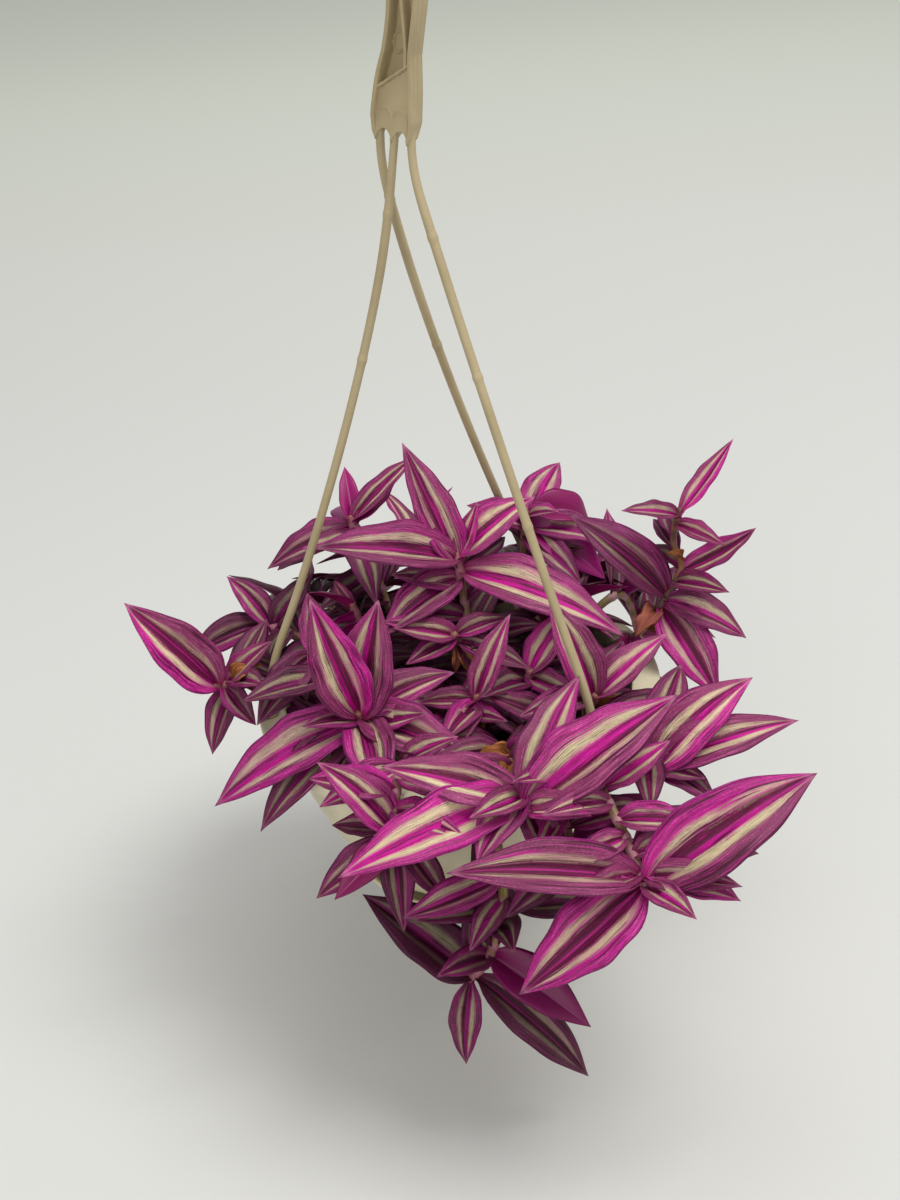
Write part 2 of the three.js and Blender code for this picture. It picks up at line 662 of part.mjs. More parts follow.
// A blade is a row of bent V sections, two surfaces that meet along its edges.
function blade(base, light, [, heading, rise, length, width, bend = DEFAULT_BEND, roll = 0]) {
  const chord = headingVector(heading, rise);
  const facing = new THREE.Vector3(...polar(light, FACE_TILT), 1).applyAxisAngle(chord, degrees(roll));
  const side = new THREE.Vector3().crossVectors(facing, chord).normalize();
  const up = new THREE.Vector3().crossVectors(chord, side);
  const arching = 2 * Math.tan(degrees(bend) / 4);
  const positions = [...base.toArray()];
  for (const part of LEAF_STATIONS) {
    const middle = base.clone().addScaledVector(chord, length * part)
      .addScaledVector(up, length * arching * part * (1 - part));
    const along = chord.clone().addScaledVector(up, arching * (1 - 2 * part)).normalize();
    const normal = new THREE.Vector3().crossVectors(along, side);
    const half = width / 2 * outlineAt(part);
    const fold = degrees(FOLD_AT_BASE + (FOLD_AT_TIP - FOLD_AT_BASE) * part);
    for (const sign of [-1, 1]) {
      const edge = middle.clone().addScaledVector(side, sign * half * Math.cos(fold))
        .addScaledVector(normal, half * Math.sin(fold));
      positions.push(...edge.toArray());
    }
    positions.push(...middle.toArray());
    positions.push(...middle.clone().addScaledVector(normal, -BLADE_THICK).toArray());
  }
  positions.push(...base.clone().addScaledVector(chord, length).toArray());

  const triangles = [];
  const station = (i) => ({ left: 4 * i + 2, right: 4 * i + 1, top: 4 * i + 3, under: 4 * i + 4 });
  const last = LEAF_STATIONS.length - 1;
  const tip = 4 * (last + 1) + 1;
  const quad = (a, b, c, d) => triangles.push(a, b, c, a, c, d);
  for (let i = 0; i < last; i += 1) {
    const a = station(i);
    const b = station(i + 1);
    quad(a.right, b.right, b.top, a.top);
    quad(a.top, b.top, b.left, a.left);
    quad(a.left, b.left, b.under, a.under);
    quad(a.under, b.under, b.right, a.right);
  }
  const a = station(0);
  const b = station(last);
  triangles.push(0, a.right, a.top, 0, a.top, a.left, 0, a.left, a.under, 0, a.under, a.right);
  triangles.push(tip, b.top, b.right, tip, b.left, b.top, tip, b.under, b.left, tip, b.right, b.under);

  const geometry = new THREE.BufferGeometry();
  geometry.setAttribute('position', new THREE.Float32BufferAttribute(positions, 3));
  geometry.setIndex(triangles);
  return toSolid(geometry);
}

function leafyStem(stem, index, stems) {
  const curve = stemCurve(stem, stems[0]);
  const length = curve.getLength();
  const steps = Math.max(3, Math.round(length / STEM_STEP));
  const rod = new THREE.ExtrudeGeometry(ring(STEM_RADIUS, STEM_SIDES), { steps, extrudePath: curve });
  const joints = curve.getSpacedPoints(steps);
  const light = stem.light ?? LIGHT_AZIMUTH;
  const blades = stem.leaves.map((leaf) => {
    const along = steps * (1 - (leaf[0] + LEAF_SINK) / length);
    const piece = Math.floor(along);
    const base = joints[piece].clone().lerp(joints[piece + 1], along - piece);
    return blade(base, light, leaf);
  });
  return joined([toSolid(rod), ...blades]);
}

function plant(stems) {
  return toGeometry(mainBody(joined(stems.map(leafyStem))));
}

// ---------------------------------------------------------------- the whole part

const SLOTS = {
  pot: { color: '#c9c0a0', roughness: 0.42, metalness: 0 },
  soil: { color: '#2a2019', roughness: 0.95, metalness: 0 },
  hanger: { color: '#b7a680', roughness: 0.45, metalness: 0 },
  leaf: { color: '#8a2f72', roughness: 0.4, metalness: 0 },
};

const part = new THREE.Group();
part.position.copy(hubPoint(0, HUB_DEPTH / 2, HOOK_CENTRE + HOOK_RADIUS)).negate();

function add(name, geometry, slot) {
  const mesh = new THREE.Mesh(geometry, new THREE.MeshStandardMaterial(SLOTS[slot]));
  mesh.name = name;
  part.add(mesh);
}

add('pot', pot(), 'pot');
add('saucer', saucer(), 'pot');
add('soil', soil(), 'soil');
add('hanger', hanger(), 'hanger');
for (const [name, stems] of Object.entries(PLANTS)) {
  add(name, plant(stems), 'leaf');
}

export default part;
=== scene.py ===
import math
from functools import reduce
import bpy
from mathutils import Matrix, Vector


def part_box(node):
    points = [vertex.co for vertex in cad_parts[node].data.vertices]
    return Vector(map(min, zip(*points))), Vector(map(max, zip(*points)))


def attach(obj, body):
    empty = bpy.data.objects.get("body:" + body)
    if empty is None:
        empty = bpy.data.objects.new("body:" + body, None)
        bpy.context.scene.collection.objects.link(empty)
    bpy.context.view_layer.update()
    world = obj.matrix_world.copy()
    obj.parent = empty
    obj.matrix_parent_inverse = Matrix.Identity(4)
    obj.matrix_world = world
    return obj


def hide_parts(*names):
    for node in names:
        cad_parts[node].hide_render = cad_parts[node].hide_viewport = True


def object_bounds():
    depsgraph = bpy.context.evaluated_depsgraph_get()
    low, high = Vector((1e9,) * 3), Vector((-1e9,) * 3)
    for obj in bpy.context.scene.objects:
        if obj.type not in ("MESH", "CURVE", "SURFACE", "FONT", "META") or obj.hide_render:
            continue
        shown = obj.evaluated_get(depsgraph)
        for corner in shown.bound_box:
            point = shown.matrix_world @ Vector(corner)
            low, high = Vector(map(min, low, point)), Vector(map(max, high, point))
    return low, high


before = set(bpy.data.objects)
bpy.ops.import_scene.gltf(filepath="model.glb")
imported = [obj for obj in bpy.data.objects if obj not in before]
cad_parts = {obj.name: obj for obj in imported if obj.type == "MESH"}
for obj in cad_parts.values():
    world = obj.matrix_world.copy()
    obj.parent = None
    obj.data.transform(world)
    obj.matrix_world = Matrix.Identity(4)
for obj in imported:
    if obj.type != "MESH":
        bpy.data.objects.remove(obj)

from types import SimpleNamespace

import bmesh
import bpy
import numpy as np
from bpy.props import FloatProperty, FloatVectorProperty, IntProperty, PointerProperty
from mathutils import Matrix

bl_info = {
    "name": "Hanging Tradescantia",
    "version": (1, 0, 0),
    "blender": (4, 5, 0),
    "location": "View3D > Sidebar > Houseplant",
    "description": "A striped purple tradescantia in a hanging pot with a saucer and a moulded hanger",
    "category": "Add Mesh",
}

# Shapes are worked out in millimetres about the centre of the pot's rim, +Z up, and moved into the
# frame, in metres, when they become meshes.
MM = 0.001
CAD_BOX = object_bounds()
POT_LOW, POT_HIGH = (np.array(corner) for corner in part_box("pot"))
RIM_CENTRE = np.array([*(POT_LOW + POT_HIGH)[:2] / 2, POT_HIGH[2]])
RIM_RADIUS = (POT_HIGH[0] - POT_LOW[0]) / 2 / MM
POT_DEPTH = (POT_HIGH[2] - POT_LOW[2]) / MM
BOX_LOW, BOX_HIGH = ((np.array(corner) - RIM_CENTRE) / MM for corner in CAD_BOX)
BOX_PLAY = 0.15         # how far inside that box a blade is held

# Pot and saucer
RIM_DROP = 6.0
RIM_THICK = 2.2
LIP_THICK = 1.8
LIP_SLANT = 0.6
WALL_TOP_RADIUS = 75.0
WALL = 2.0
BOWL_FOOT_RADIUS = 50.8
BOWL_DEPTH = 73.0
FOOT_RADIUS = 39.0
FOOT_FLARE = 1.0
CLIP_RADIUS = 79.6
CLIP_HOLE_RADIUS = 2.3
SPARE_HOLE_AZIMUTHS = (10, 130, 250)
SAUCER_RADIUS = 52.5
SAUCER_RIM_DEPTH = 77.5
SAUCER_DEPTH = 88.6
SAUCER_FOOT_RADIUS = 41.0
SAUCER_FLOOR_RADIUS = 43.0
SAUCER_CURL = 1.2
SAUCER_BRIM = 3.4
SAUCER_BRIM_DROP = 1.8
SEAT_GAP = 0.3
ROUND_STEPS = 144
POT_FINISH = (0.42, 0.28)       # roughness, and how strongly dust shows

# Soil
SOIL_EDGE_DEPTH = 21.0
SOIL_CROWN = 5.0
SOIL_GRID = (70, 180)           # rings and steps of its top
# Waves of the soil's crumbs: how close they lie, phase, height.
SOIL_WAVES = ((0.21, 0.0, 0.5), (0.35, 1.1, 0.38), (0.62, 2.3, 0.3), (1.1, 0.7, 0.22), (1.9, 4.0, 0.14))
CRUMBS = 420
CRUMB_SIZE = (0.5, 1.6)
CRUMB_SEED = 11
ROOT_DEPTH = 14.0

# Hanger
STRAND_RADIUS = 1.8
HUB_FOOT = np.array([-1.5, 0.0, 226.0])
HUB_TURN = -38.0
HUB_LEAN = 10.0
HUB_WIDTH = 17.0
HUB_DEPTH = 7.0
HUB_HEIGHT = 76.0
HUB_SKIN = 1.6
RECESS_DEPTH = 5.4
CHANNEL_DEPTH = 2.0
RIB_HEIGHT = 22.0
RIB_SLANT = 6.0
FLANGE_LEAN = 2.4        # how far the left flange leans in half way up
CENTRE_SHIFT = 4.2       # how far to the right the centre rib's foot stands
GROOVE_DEPTH = 0.28
GROOVE_PLACES = (0.36, 0.68)    # from the back to the face of a side wall
ARCH_START = 7.5         # height at which the arch above each notch begins to close
ARCH_RADIUS = 3.2
ARCH_SKIN = 0.9
OVAL_PLACE = (-1.6, 33.0)
OVAL_RADIUS = 2.1
OVAL_STRETCH = 1.6
OVAL_SKIN = 0.8
NOTCH_HEIGHT = 4.4
STRAND_PITCH = 6.8
HOOK_RADIUS = 10.0
HOOK_BAR = 5.0
HOOK_SWEEP = 245.0
HOOK_ROUND = 2.4         # length over which the hook's end is rounded
NECK = 6.0
HANGER_FINISH = (0.45, 0.1)
ROUTE_STEPS = 600
COLLAR_RADIUS = 3.0      # the collar on the rim, at the foot of a strand
COLLAR_LENGTH = 1.4
BARB_RADIUS = 2.9        # the barb under the rim
BARB_POINT_RADIUS = 1.3
BARB_LENGTH = 3.0
STRAND_PARTS = 6
STRAND_TURN = 20.0       # how far above the rim a strand has turned nearly upright
STRAND_LEAN = 2.5        # how far in from its clip it stands there
# Each strand: azimuth of its clip, its place across the hub, its flare, and where its nubs are.
STRANDS = {
    "left": (187, 0.0, 1.3, (88, 33)),
    "right": (310, 1.0, 1.1, (40, 92, 150)),
    "back": (61, -1.0, 1.3, (30, 96)),
}

# Plant
STEM_RADIUS = 1.9
STEM_TAPER = 0.22        # part of its radius that a stem loses to its tip
JOINT_SWELL = 0.28
SHEATH_LENGTH = 7.0
SHEATH_SWELL = 0.22
LEAF_SINK = 3.0
DEFAULT_BEND = 36.0
LIGHT_AZIMUTH = 270.0
FACE_TILT = 0.6
FOLD_AT_BASE = 34.0
FOLD_AT_TIP = 10.0
WIDEST_AT = 0.37
CLASP = 1.9             # half-width with which a blade's foot wraps its stem
BLADE_SKIN = 0.55
MIDRIB = 0.75
SWAY = 0.03             # how far a blade bows aside and how far its tip curls, as parts of its length
CURL = 0.035
EDGE_STRAY = 0.035      # how uneven its outline is, as a part of its width
FOOT_LENGTH = 4.5       # over which its foot opens, and how much more the foot is folded
FOOT_FOLD = 28.0
KEEL = 0.16             # softness of the fold and height of each half's bulge, as parts of the half
BULGE = 0.11
YOUNG_LENGTH = (14.0, 34.0)     # a leaf up to the first length is wholly young, past the second not
SKYWARD = np.array([0.35, -0.45, 0.82])     # towards the light, which the leaves on that side keep off
SHADE_REACH = 20.0
STEM_SEED = 100
DRY_SEED = 3
DRY_WAVE = 0.09

# Each stem: the route of its middle, from where it leaves the soil (x, y) or, where the route
# starts with a single length, from that far behind the tip of its plant's first stem; then its
# leaves: [back from the tip, heading, rise, length, width, bend, roll]. The leaves that come first
# are listed as someone sees them who stands in front and looks down by VIEW_TILT. For these the
# second value is the way they point across that view, where 0 is right and 90 is up, and the
# third is how far they lean out of it, towards the viewer.
VIEW_TILT = 29.0
LISTED_STEMS = {
    "stem_crown": [
        ([[8, 6], [8, 12, 8], [6, 20, 30], [5, 25, 50]],
         [[1, 170, 25, 65, 26], [4, 110, 10, 58, 20, 20], [0, 35, 0, 42, 20], [6, 335, 15, 75, 26],
          [9, 210, 25, 46, 22], [0, 65, 15, 26, 10, 15]],
         []),
        ([[45], [3, 6, 14], [0, 0, 25]],
         [[0, 165, 20, 28, 14], [2, 200, 25, 26, 12], [0, 15, 0, 24, 12], [3, 335, 15, 34, 14],
          [5, 305, 15, 20, 10]],
         []),
    ],
    "stem_left": [
        ([[-38, -22], [-39, -34, 2], [-40, -45, 20]],
         [[0, 105, 30, 56, 24, 20, -10], [2, 75, 20, 50, 26, 20, 10], [3, 335, 20, 48, 24],
          [5, 205, 10, 66, 26], [8, 220, 10, 58, 20, 55], [10, 235, 40, 28, 14],
          [6, 280, 45, 48, 22, 60], [2, 20, -10, 42, 18]],
         []),
        ([[42], [-50, -24, 14], [-58, -12, 32]],
         [[0, 225, 20, 38, 18, 30, -10]],
         [[3, 95, 40, 30, 14], [6, 100, -5, 26, 12]]),
    ],
    "stem_far_left": [
        ([[-56, 6], [-66, 4, 7], [-84, -1, 11], [-100, -15, 20]],
         [[0, 130, 30, 54, 24, 30, -20], [3, 305, 15, 22, 12], [5, 40, 0, 26, 12]],
         [[8, 240, -45, 30, 14], [10, 60, 30, 32, 14]]),
    ],
    "stem_left_back": [
        ([[-50, 24], [-60, 29, 8], [-85, 35, 20]],
         [[0, 200, 15, 36, 18], [2, 240, 10, 34, 16], [4, 125, 0, 30, 14], [3, 195, -15, 26, 14],
          [5, 50, 5, 30, 14]],
         [[7, 150, -25, 30, 14]]),
    ],
    "stem_top_left": [
        ([[-22, 38], [-26, 42, 10], [-33, 47, 38], [-40, 50, 60]],
         [[0, 40, 5, 40, 12], [1, 95, -10, 26, 10], [3, 200, 5, 42, 18], [4, 200, -25, 44, 18],
          [2, 45, -15, 32, 14]],
         [[7, 280, -15, 44, 18], [9, 120, -10, 40, 16], [14, 320, 0, 40, 16]]),
    ],
    "stem_top_right": [
        ([[26, 32], [29, 38, 12], [34, 44, 36], [38, 48, 55]],
         [[0, 345, -30, 34, 20, 110], [3, 320, 0, 42, 22], [5, 155, 20, 30, 16]],
         [[1, 300, 25, 26, 12], [4, 60, 20, 40, 18], [9, 305, -15, 38, 16]]),
    ],
    "stem_tall": [
        ([[58, 20], [66, 17, 0], [80, 12, 10], [92, 14, 26], [98, 15, 38], [95, 15, 50], [98, 15, 65]],
         [[0, 50, 10, 38, 10, -30], [1, 170, 20, 26, 10, 50], [28, 25, 30, 40, 14, -30],
          [42, 330, 10, 38, 18], [45, 295, 15, 46, 24], [40, 135, 5, 54, 24]],
         [[64, 250, -10, 26, 12]]),
    ],
    "stem_right": [
        ([[46, -34], [56, -48, 6], [66, -63, 9], [70, -80, 0]],
         [[0, 40, 5, 52, 24], [2, 15, 10, 58, 20], [0, 90, -5, 22, 12], [6, 260, 50, 28, 14],
          [3, 340, 35, 24, 12], [5, 325, 25, 32, 14]],
         [[8, 60, 20, 44, 18]]),
        ([[52], [50, -36, 4], [54, -40, 14]],
         [[0, 110, 10, 44, 20], [2, 185, 20, 32, 14]],
         [[1, 20, 30, 40, 16], [3, 60, 10, 38, 16]]),
    ],
    "stem_middle": [
        ([[6, -22], [6, -23, 0], [7, -25, 10]],
         [[0, 320, 10, 38, 16], [1, 175, 5, 24, 12], [0, 65, 10, 38, 14]],
         [[2, 240, -10, 34, 14]]),
    ],
    "stem_middle_right": [
        ([[30, -6], [29, -8, 0], [30, -10, 10]],
         [[0, 50, 0, 36, 16]],
         [[1, 65, 20, 30, 14], [2, 310, 0, 32, 14]]),
    ],
    "stem_front": [
        ([[14, -48], [15, -64, 6], [18, -84, 10], [20, -100, 3]],
         [[0, 30, 0, 70, 30], [2, 60, -20, 55, 20, 30], [5, 195, 15, 74, 26], [0, 355, 35, 28, 14],
          [6, 225, 40, 36, 18], [3, 160, 5, 54, 22]],
         [[8, 300, -40, 38, 16]]),
    ],
    "stem_lower_right": [
        ([[33, -46], [38, -62, 6], [46, -86, 9], [55, -110, -4], [60, -125, -18]],
         [[0, 30, 0, 74, 32], [3, 170, 10, 72, 24], [1, 215, 10, 60, 28], [4, 355, 20, 36, 14],
          [0, 330, 55, 28, 12], [8, 0, -15, 48, 18], [6, 340, 0, 38, 16]],
         [[14, 30, 0, 38, 16]]),
    ],
    "stem_trailing": [
        ([[2, -50], [4, -70, 7], [7, -90, 6], [9, -104, -12], [8, -106, -34], [2, -107, -54],
          [-8, -106, -68]],
         [[0, 135, 10, 54, 24], [0, 260, -5, 34, 14], [2, 310, -15, 66, 20], [14, 320, 15, 46, 20],
          [38, 180, 25, 36, 16]],
         [[36, 20, -20, 40, 16], [50, 200, -5, 40, 16]]),
    ],
    "stem_lower_left": [
        ([[-22, -44], [-24, -64, 7], [-27, -84, 8], [-30, -92, -12]],
         [[0, 210, 0, 36, 16], [2, 220, 15, 32, 14], [4, 130, 10, 40, 18], [1, 30, 0, 26, 14]],
         [[3, 270, -50, 36, 14], [6, 315, -45, 36, 14]]),
    ],
    "stem_front_low": [
        ([[24, -50], [27, -68, 7], [32, -90, 5], [37, -102, -20]],
         [],
         [[0, 220, -10, 36, 16], [2, 340, -10, 44, 18], [4, 30, 10, 40, 16]]),
    ],
}

# Side leaves, which grow on every stem in two ranks.
SIDE_START = 5.0         # how far behind the tip the first one grows
SIDE_GAP = 7.0           # along the stem from one to the next
SIDE_REACH = 46.0        # how far behind the tip the last one grows, at most
SIDE_LENGTH = (24.0, 38.0)
SIDE_SPREAD = 68.0       # degrees from the stem's own heading to either rank
SIDE_STRAY = 22.0
SIDE_RISE = (-12.0, 30.0)
SIDE_WIDTH = (0.40, 0.47)   # of its length
OVER_RIM = 7.0           # a leaf that would end low and inside this margin round the rim is
RIM_MARGIN = 4.0         # lifted to this height
LISTED_MESH = (26, 14)   # rows and columns of a listed or drawn leaf
SIDE_MESH = (15, 10)     # of a side leaf and of a small shoot's leaves

# Small shoots, spread evenly over the soil.
SHOOT_SEED = 5
SHOOT_REACH = 66.0
SHOOT_HEIGHT = (10.0, 24.0)
SHOOT_BACK = 20.0        # how much higher they are at the back
SHOOT_LEAN = (2.0, 8.0)
SHOOT_LEAVES = 5
SHOOT_GAP = 3.0          # along the shoot from one leaf to the next
SHOOT_TURN = 137.0       # and round it, in degrees
SHOOT_LENGTH = (22.0, 34.0)
SHOOT_RISE = (0.0, 35.0)
SHOOT_WIDTH = (0.38, 0.46)      # of its length
SHOOT_BEND = 30.0

# Leaves that lie with their undersides to the front, by their place in their stem's own list.
TURNED_LEAVES = {
    ("stem_top_right", 0): (0, 1), ("stem_top_left", 0): (1, 4, 8), ("stem_left_back", 0): (1,),
    ("stem_front_low", 0): (2,), ("stem_trailing", 0): (3,), ("stem_lower_left", 0): (1,),
    ("stem_tall", 0): (6,),
}
BROWN_STEMS = {"stem_tall": 1.0, "stem_far_left": 0.5}
THIN_STEMS = {"stem_tall": 0.78}

# Dry leaves and torn sheaths, on the same stems.
DRY_LEAVES = {
    ("stem_far_left", 0): [[8, 10, 30, 15, 9, 130], [11, 340, -20, 12, 7, 150]],
    ("stem_crown", 1): [[6, 300, -50, 15, 8, 120], [8, 250, -40, 12, 6, 150]],
    ("stem_left", 0): [[16, 330, -10, 17, 9, 140], [20, 350, -24, 14, 8, 120]],
    ("stem_middle", 0): [[8, 270, -30, 16, 8, 150], [12, 200, -10, 14, 7, 130]],
    ("stem_front", 0): [[24, 250, -20, 15, 8, 150], [30, 200, 20, 14, 7, 130]],
    ("stem_tall", 0): [[48, 230, -10, 18, 10, 120], [56, 320, -30, 15, 8, 150],
                       [21, 200, 30, 7, 4, 140]],
    ("stem_right", 1): [[10, 30, 0, 17, 9, 140]],
    ("stem_lower_right", 0): [[48, 250, -30, 14, 7, 140]],
}

# Stems of the side away from the front: azimuth and height of the tip.
OUTER_STEMS = [[28, -22], [43, 2], [76, -22], [98, 12], [117, -22], [133, -6]]
OUTER_LEAF = 52.0
OUTER_BENDS = [[54], [66, 6], [86, 13]]     # radius and height of the points before the tip
OUTER_TIP = 102
TIP_STRAY = 4
# Stems that stand up in the middle: azimuth, radius and height of the tip, leaf length.
INNER_STEMS = [[90, 44, 30, 30], [160, 44, 36, 30], [190, 38, 16, 26], [24, 55, 26, 32]]
DRAWN_PATTERN = [
    [0, 32, 30, 0.8], [2, -38, 34, 0.72], [5, 66, 8, 0.95], [8, -64, 4, 0.95], [12, 4, -16, 1.08],
    [15, 140, 40, 0.8],
]


# ---------------------------------------------------------------------------- small geometry

def unit(vectors):
    """Vectors divided by their own lengths."""
    return vectors / np.linalg.norm(vectors, axis=-1, keepdims=True)


def polar(azimuth, radius, *height):
    """A point at an azimuth in degrees and a distance from the axis, with its height if given."""
    turn = math.radians(azimuth)
    return [radius * math.cos(turn), radius * math.sin(turn), *height]


def round_angles(steps):
    """Angles that go once round in even steps."""
    return 2 * np.pi * np.arange(steps) / steps


def smooth_step(low, high, x):
    """0 below low, 1 above high, and a cubic ease between them."""
    part = np.clip((x - low) / (high - low), 0, 1)
    return part * part * (3 - 2 * part)


def lengths_along(points):
    """How far along a line of points each of them lies."""
    return np.concatenate([[0], np.cumsum(np.linalg.norm(np.diff(points, axis=0), axis=1))])


def curve_through(points, steps=400):
    """A smooth route through points, as (distances, positions).

    Between two points it is a cubic whose end slopes come from the neighbours, spaced by the
    square root of the distances between them, so that it neither loops nor overshoots.
    """
    points = np.asarray(points, float)
    ends = [2 * points[0] - points[1], *points, 2 * points[-1] - points[-2]]
    around = np.array(ends)
    place = np.linspace(0, len(points) - 1, steps)
    left = np.minimum(place.astype(int), len(points) - 2)
    part = (place - left)[:, None]
    p0, p1, p2, p3 = (around[left + k] for k in range(4))
    d0, d1, d2 = (np.linalg.norm(b - a, axis=1, keepdims=True) ** 0.5
                  for a, b in ((p0, p1), (p1, p2), (p2, p3)))
    slope1 = ((p1 - p0) / d0 - (p2 - p0) / (d0 + d1) + (p2 - p1) / d1) * d1
    slope2 = ((p2 - p1) / d1 - (p3 - p1) / (d1 + d2) + (p3 - p2) / d2) * d1
    square = -3 * p1 + 3 * p2 - 2 * slope1 - slope2
    cube = 2 * p1 - 2 * p2 + slope1 + slope2
    where = p1 + slope1 * part + square * part**2 + cube * part**3
    return lengths_along(where), where


def along_route(route, distances):
    """Positions on a route at distances from its start."""
    far, where = route
    return np.stack([np.interp(distances, far, where[:, k]) for k in range(3)], -1)


def grid_quads(number, closed=False, flip=False):
    """The quads of a grid of corner numbers, its last column joined to the first if closed."""
    if closed:
        number = np.hstack([number, number[:, :1]])
    quads = np.stack([number[:-1, :-1], number[:-1, 1:], number[1:, 1:], number[1:, :-1]], -1)
    quads = quads.reshape(-1, 4)
    return quads[:, ::-1] if flip else quads


class Surface:
    """Collects patches of points and faces, which become one mesh."""

    def __init__(self):
        self.points, self.uvs, self.looks = [], [], []
        self.faces, self.slots = [], []
        self.count = 0

    def add(self, points, faces, uv=None, look=(0, 0, 0, 0), slot=0):
        """Adds (n, 3) points, a list of face arrays, (n, 2) coordinates, looks and materials.

        slot is one material's number, or one for each face array.
        """
        points = np.asarray(points, float).reshape(-1, 3)
        n = len(points)
        self.points.append(points)
        self.uvs.append(np.zeros((n, 2)) if uv is None else np.asarray(uv, float).reshape(n, 2))
        self.looks.append(np.broadcast_to(np.asarray(look, float), (n, 4)))
        for corners, own in zip(faces, np.broadcast_to(slot, len(faces))):
            self.faces.append(np.asarray(corners) + self.count)
            self.slots.append(np.full(len(corners), own))
        self.count += n

    def add_tube(self, rings, ends, uv, look=(0, 0, 0, 0), slot=0):
        """Adds a closed tube: (rows, columns, 3) rings, and the end points that its caps meet in."""
        rows, columns = rings.shape[:2]
        points = np.concatenate([rings.reshape(-1, 3), np.asarray(ends, float)])
        here = np.arange(columns)
        after = np.roll(here, -1)
        last = (rows - 1) * columns
        first_cap = np.stack([np.full(columns, rows * columns), after, here], -1)
        last_cap = np.stack([np.full(columns, rows * columns + 1), last + here, last + after], -1)
        uv = np.concatenate([uv.reshape(-1, 2), uv[0].mean(0)[None], uv[-1].mean(0)[None]])
        if np.ndim(look) == 3:
            look = np.concatenate([look.reshape(-1, 4), look[0, :1], look[-1, :1]])
        number = np.arange(rows * columns).reshape(rows, columns)
        self.add(points, [grid_quads(number, closed=True), first_cap, last_cap], uv, look, slot)

    def make(self, name, materials, slot):
        """Makes the mesh object, in the frame's metres, riding on the part's one body."""
        mesh = bpy.data.meshes.new(name)
        points = np.concatenate(self.points) * MM + RIM_CENTRE
        uvs = np.concatenate(self.uvs)
        looks = np.concatenate(self.looks)
        corners = np.concatenate([f.ravel() for f in self.faces])
        sizes = np.concatenate([np.full(len(f), f.shape[1]) for f in self.faces])
        mesh.vertices.add(len(points))
        mesh.vertices.foreach_set("co", points.ravel())
        mesh.loops.add(len(corners))
        mesh.loops.foreach_set("vertex_index", corners)
        mesh.polygons.add(len(sizes))
        mesh.polygons.foreach_set("loop_start", np.concatenate([[0], np.cumsum(sizes)[:-1]]))
        mesh.polygons.foreach_set("material_index", np.concatenate(self.slots))
        mesh.polygons.foreach_set("use_smooth", np.ones(len(sizes), bool))
        layer = mesh.uv_layers.new(name="surface")
        layer.data.foreach_set("uv", uvs[corners].ravel())
        attribute = mesh.attributes.new("look", "FLOAT_COLOR", "POINT")
        attribute.data.foreach_set("color", looks.ravel())
        mesh.update(calc_edges=True)
        mesh.validate()
        for material in materials:
            mesh.materials.append(material)
        piece = bpy.data.objects.new(name, mesh)
        bpy.context.scene.collection.objects.link(piece)
        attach(piece, "root")
        return piece


def held_inside(points, along):
    """Bends a blade just enough to stay inside the part's box: by the square of the part along it."""
    for _ in range(3):
        over = (np.maximum(BOX_LOW + BOX_PLAY - points, 0).max(0)
                - np.maximum(points - BOX_HIGH + BOX_PLAY, 0).max(0))
        points = points + over * along[:, None] ** 2 * 1.15
    return points


def tube_rings(route, distances, radii, sides, reference, flat=1.0):
    """Rings of a tube along a route: centre + radius (cos a * side + sin a * other).

    side is the reference direction made square to the route, and other is square to both. flat
    squeezes the ring along the second.
    """
    centre = along_route(route, distances)
    step = 0.5
    ahead = along_route(route, np.minimum(distances + step, route[0][-1]))
    behind = along_route(route, np.maximum(distances - step, 0))
    tangent = unit(ahead - behind)
    side = unit(reference - (tangent @ reference)[:, None] * tangent)
    other = np.cross(tangent, side)
    angle = round_angles(sides)
    radii = np.asarray(radii, float).reshape(len(distances), -1)
    radii = np.broadcast_to(radii, (len(distances), sides))
    rings = (centre[:, None] + (radii * np.cos(angle))[..., None] * side[:, None]
             + (flat * radii * np.sin(angle))[..., None] * other[:, None])
    round_part = 1 - np.abs(angle / np.pi - 1)
    uv = np.stack(np.broadcast_arrays(round_part[None], distances[:, None] / 100), -1)
    return rings, centre, uv


# ---------------------------------------------------------------------------- materials

def srgb(code):
    """A colour written as six hexadecimal digits, in linear light."""
    parts = [int(code[k:k + 2], 16) / 255 for k in (0, 2, 4)]
    return tuple(p / 12.92 if p <= 0.04045 else ((p + 0.055) / 1.055) ** 2.4 for p in parts)


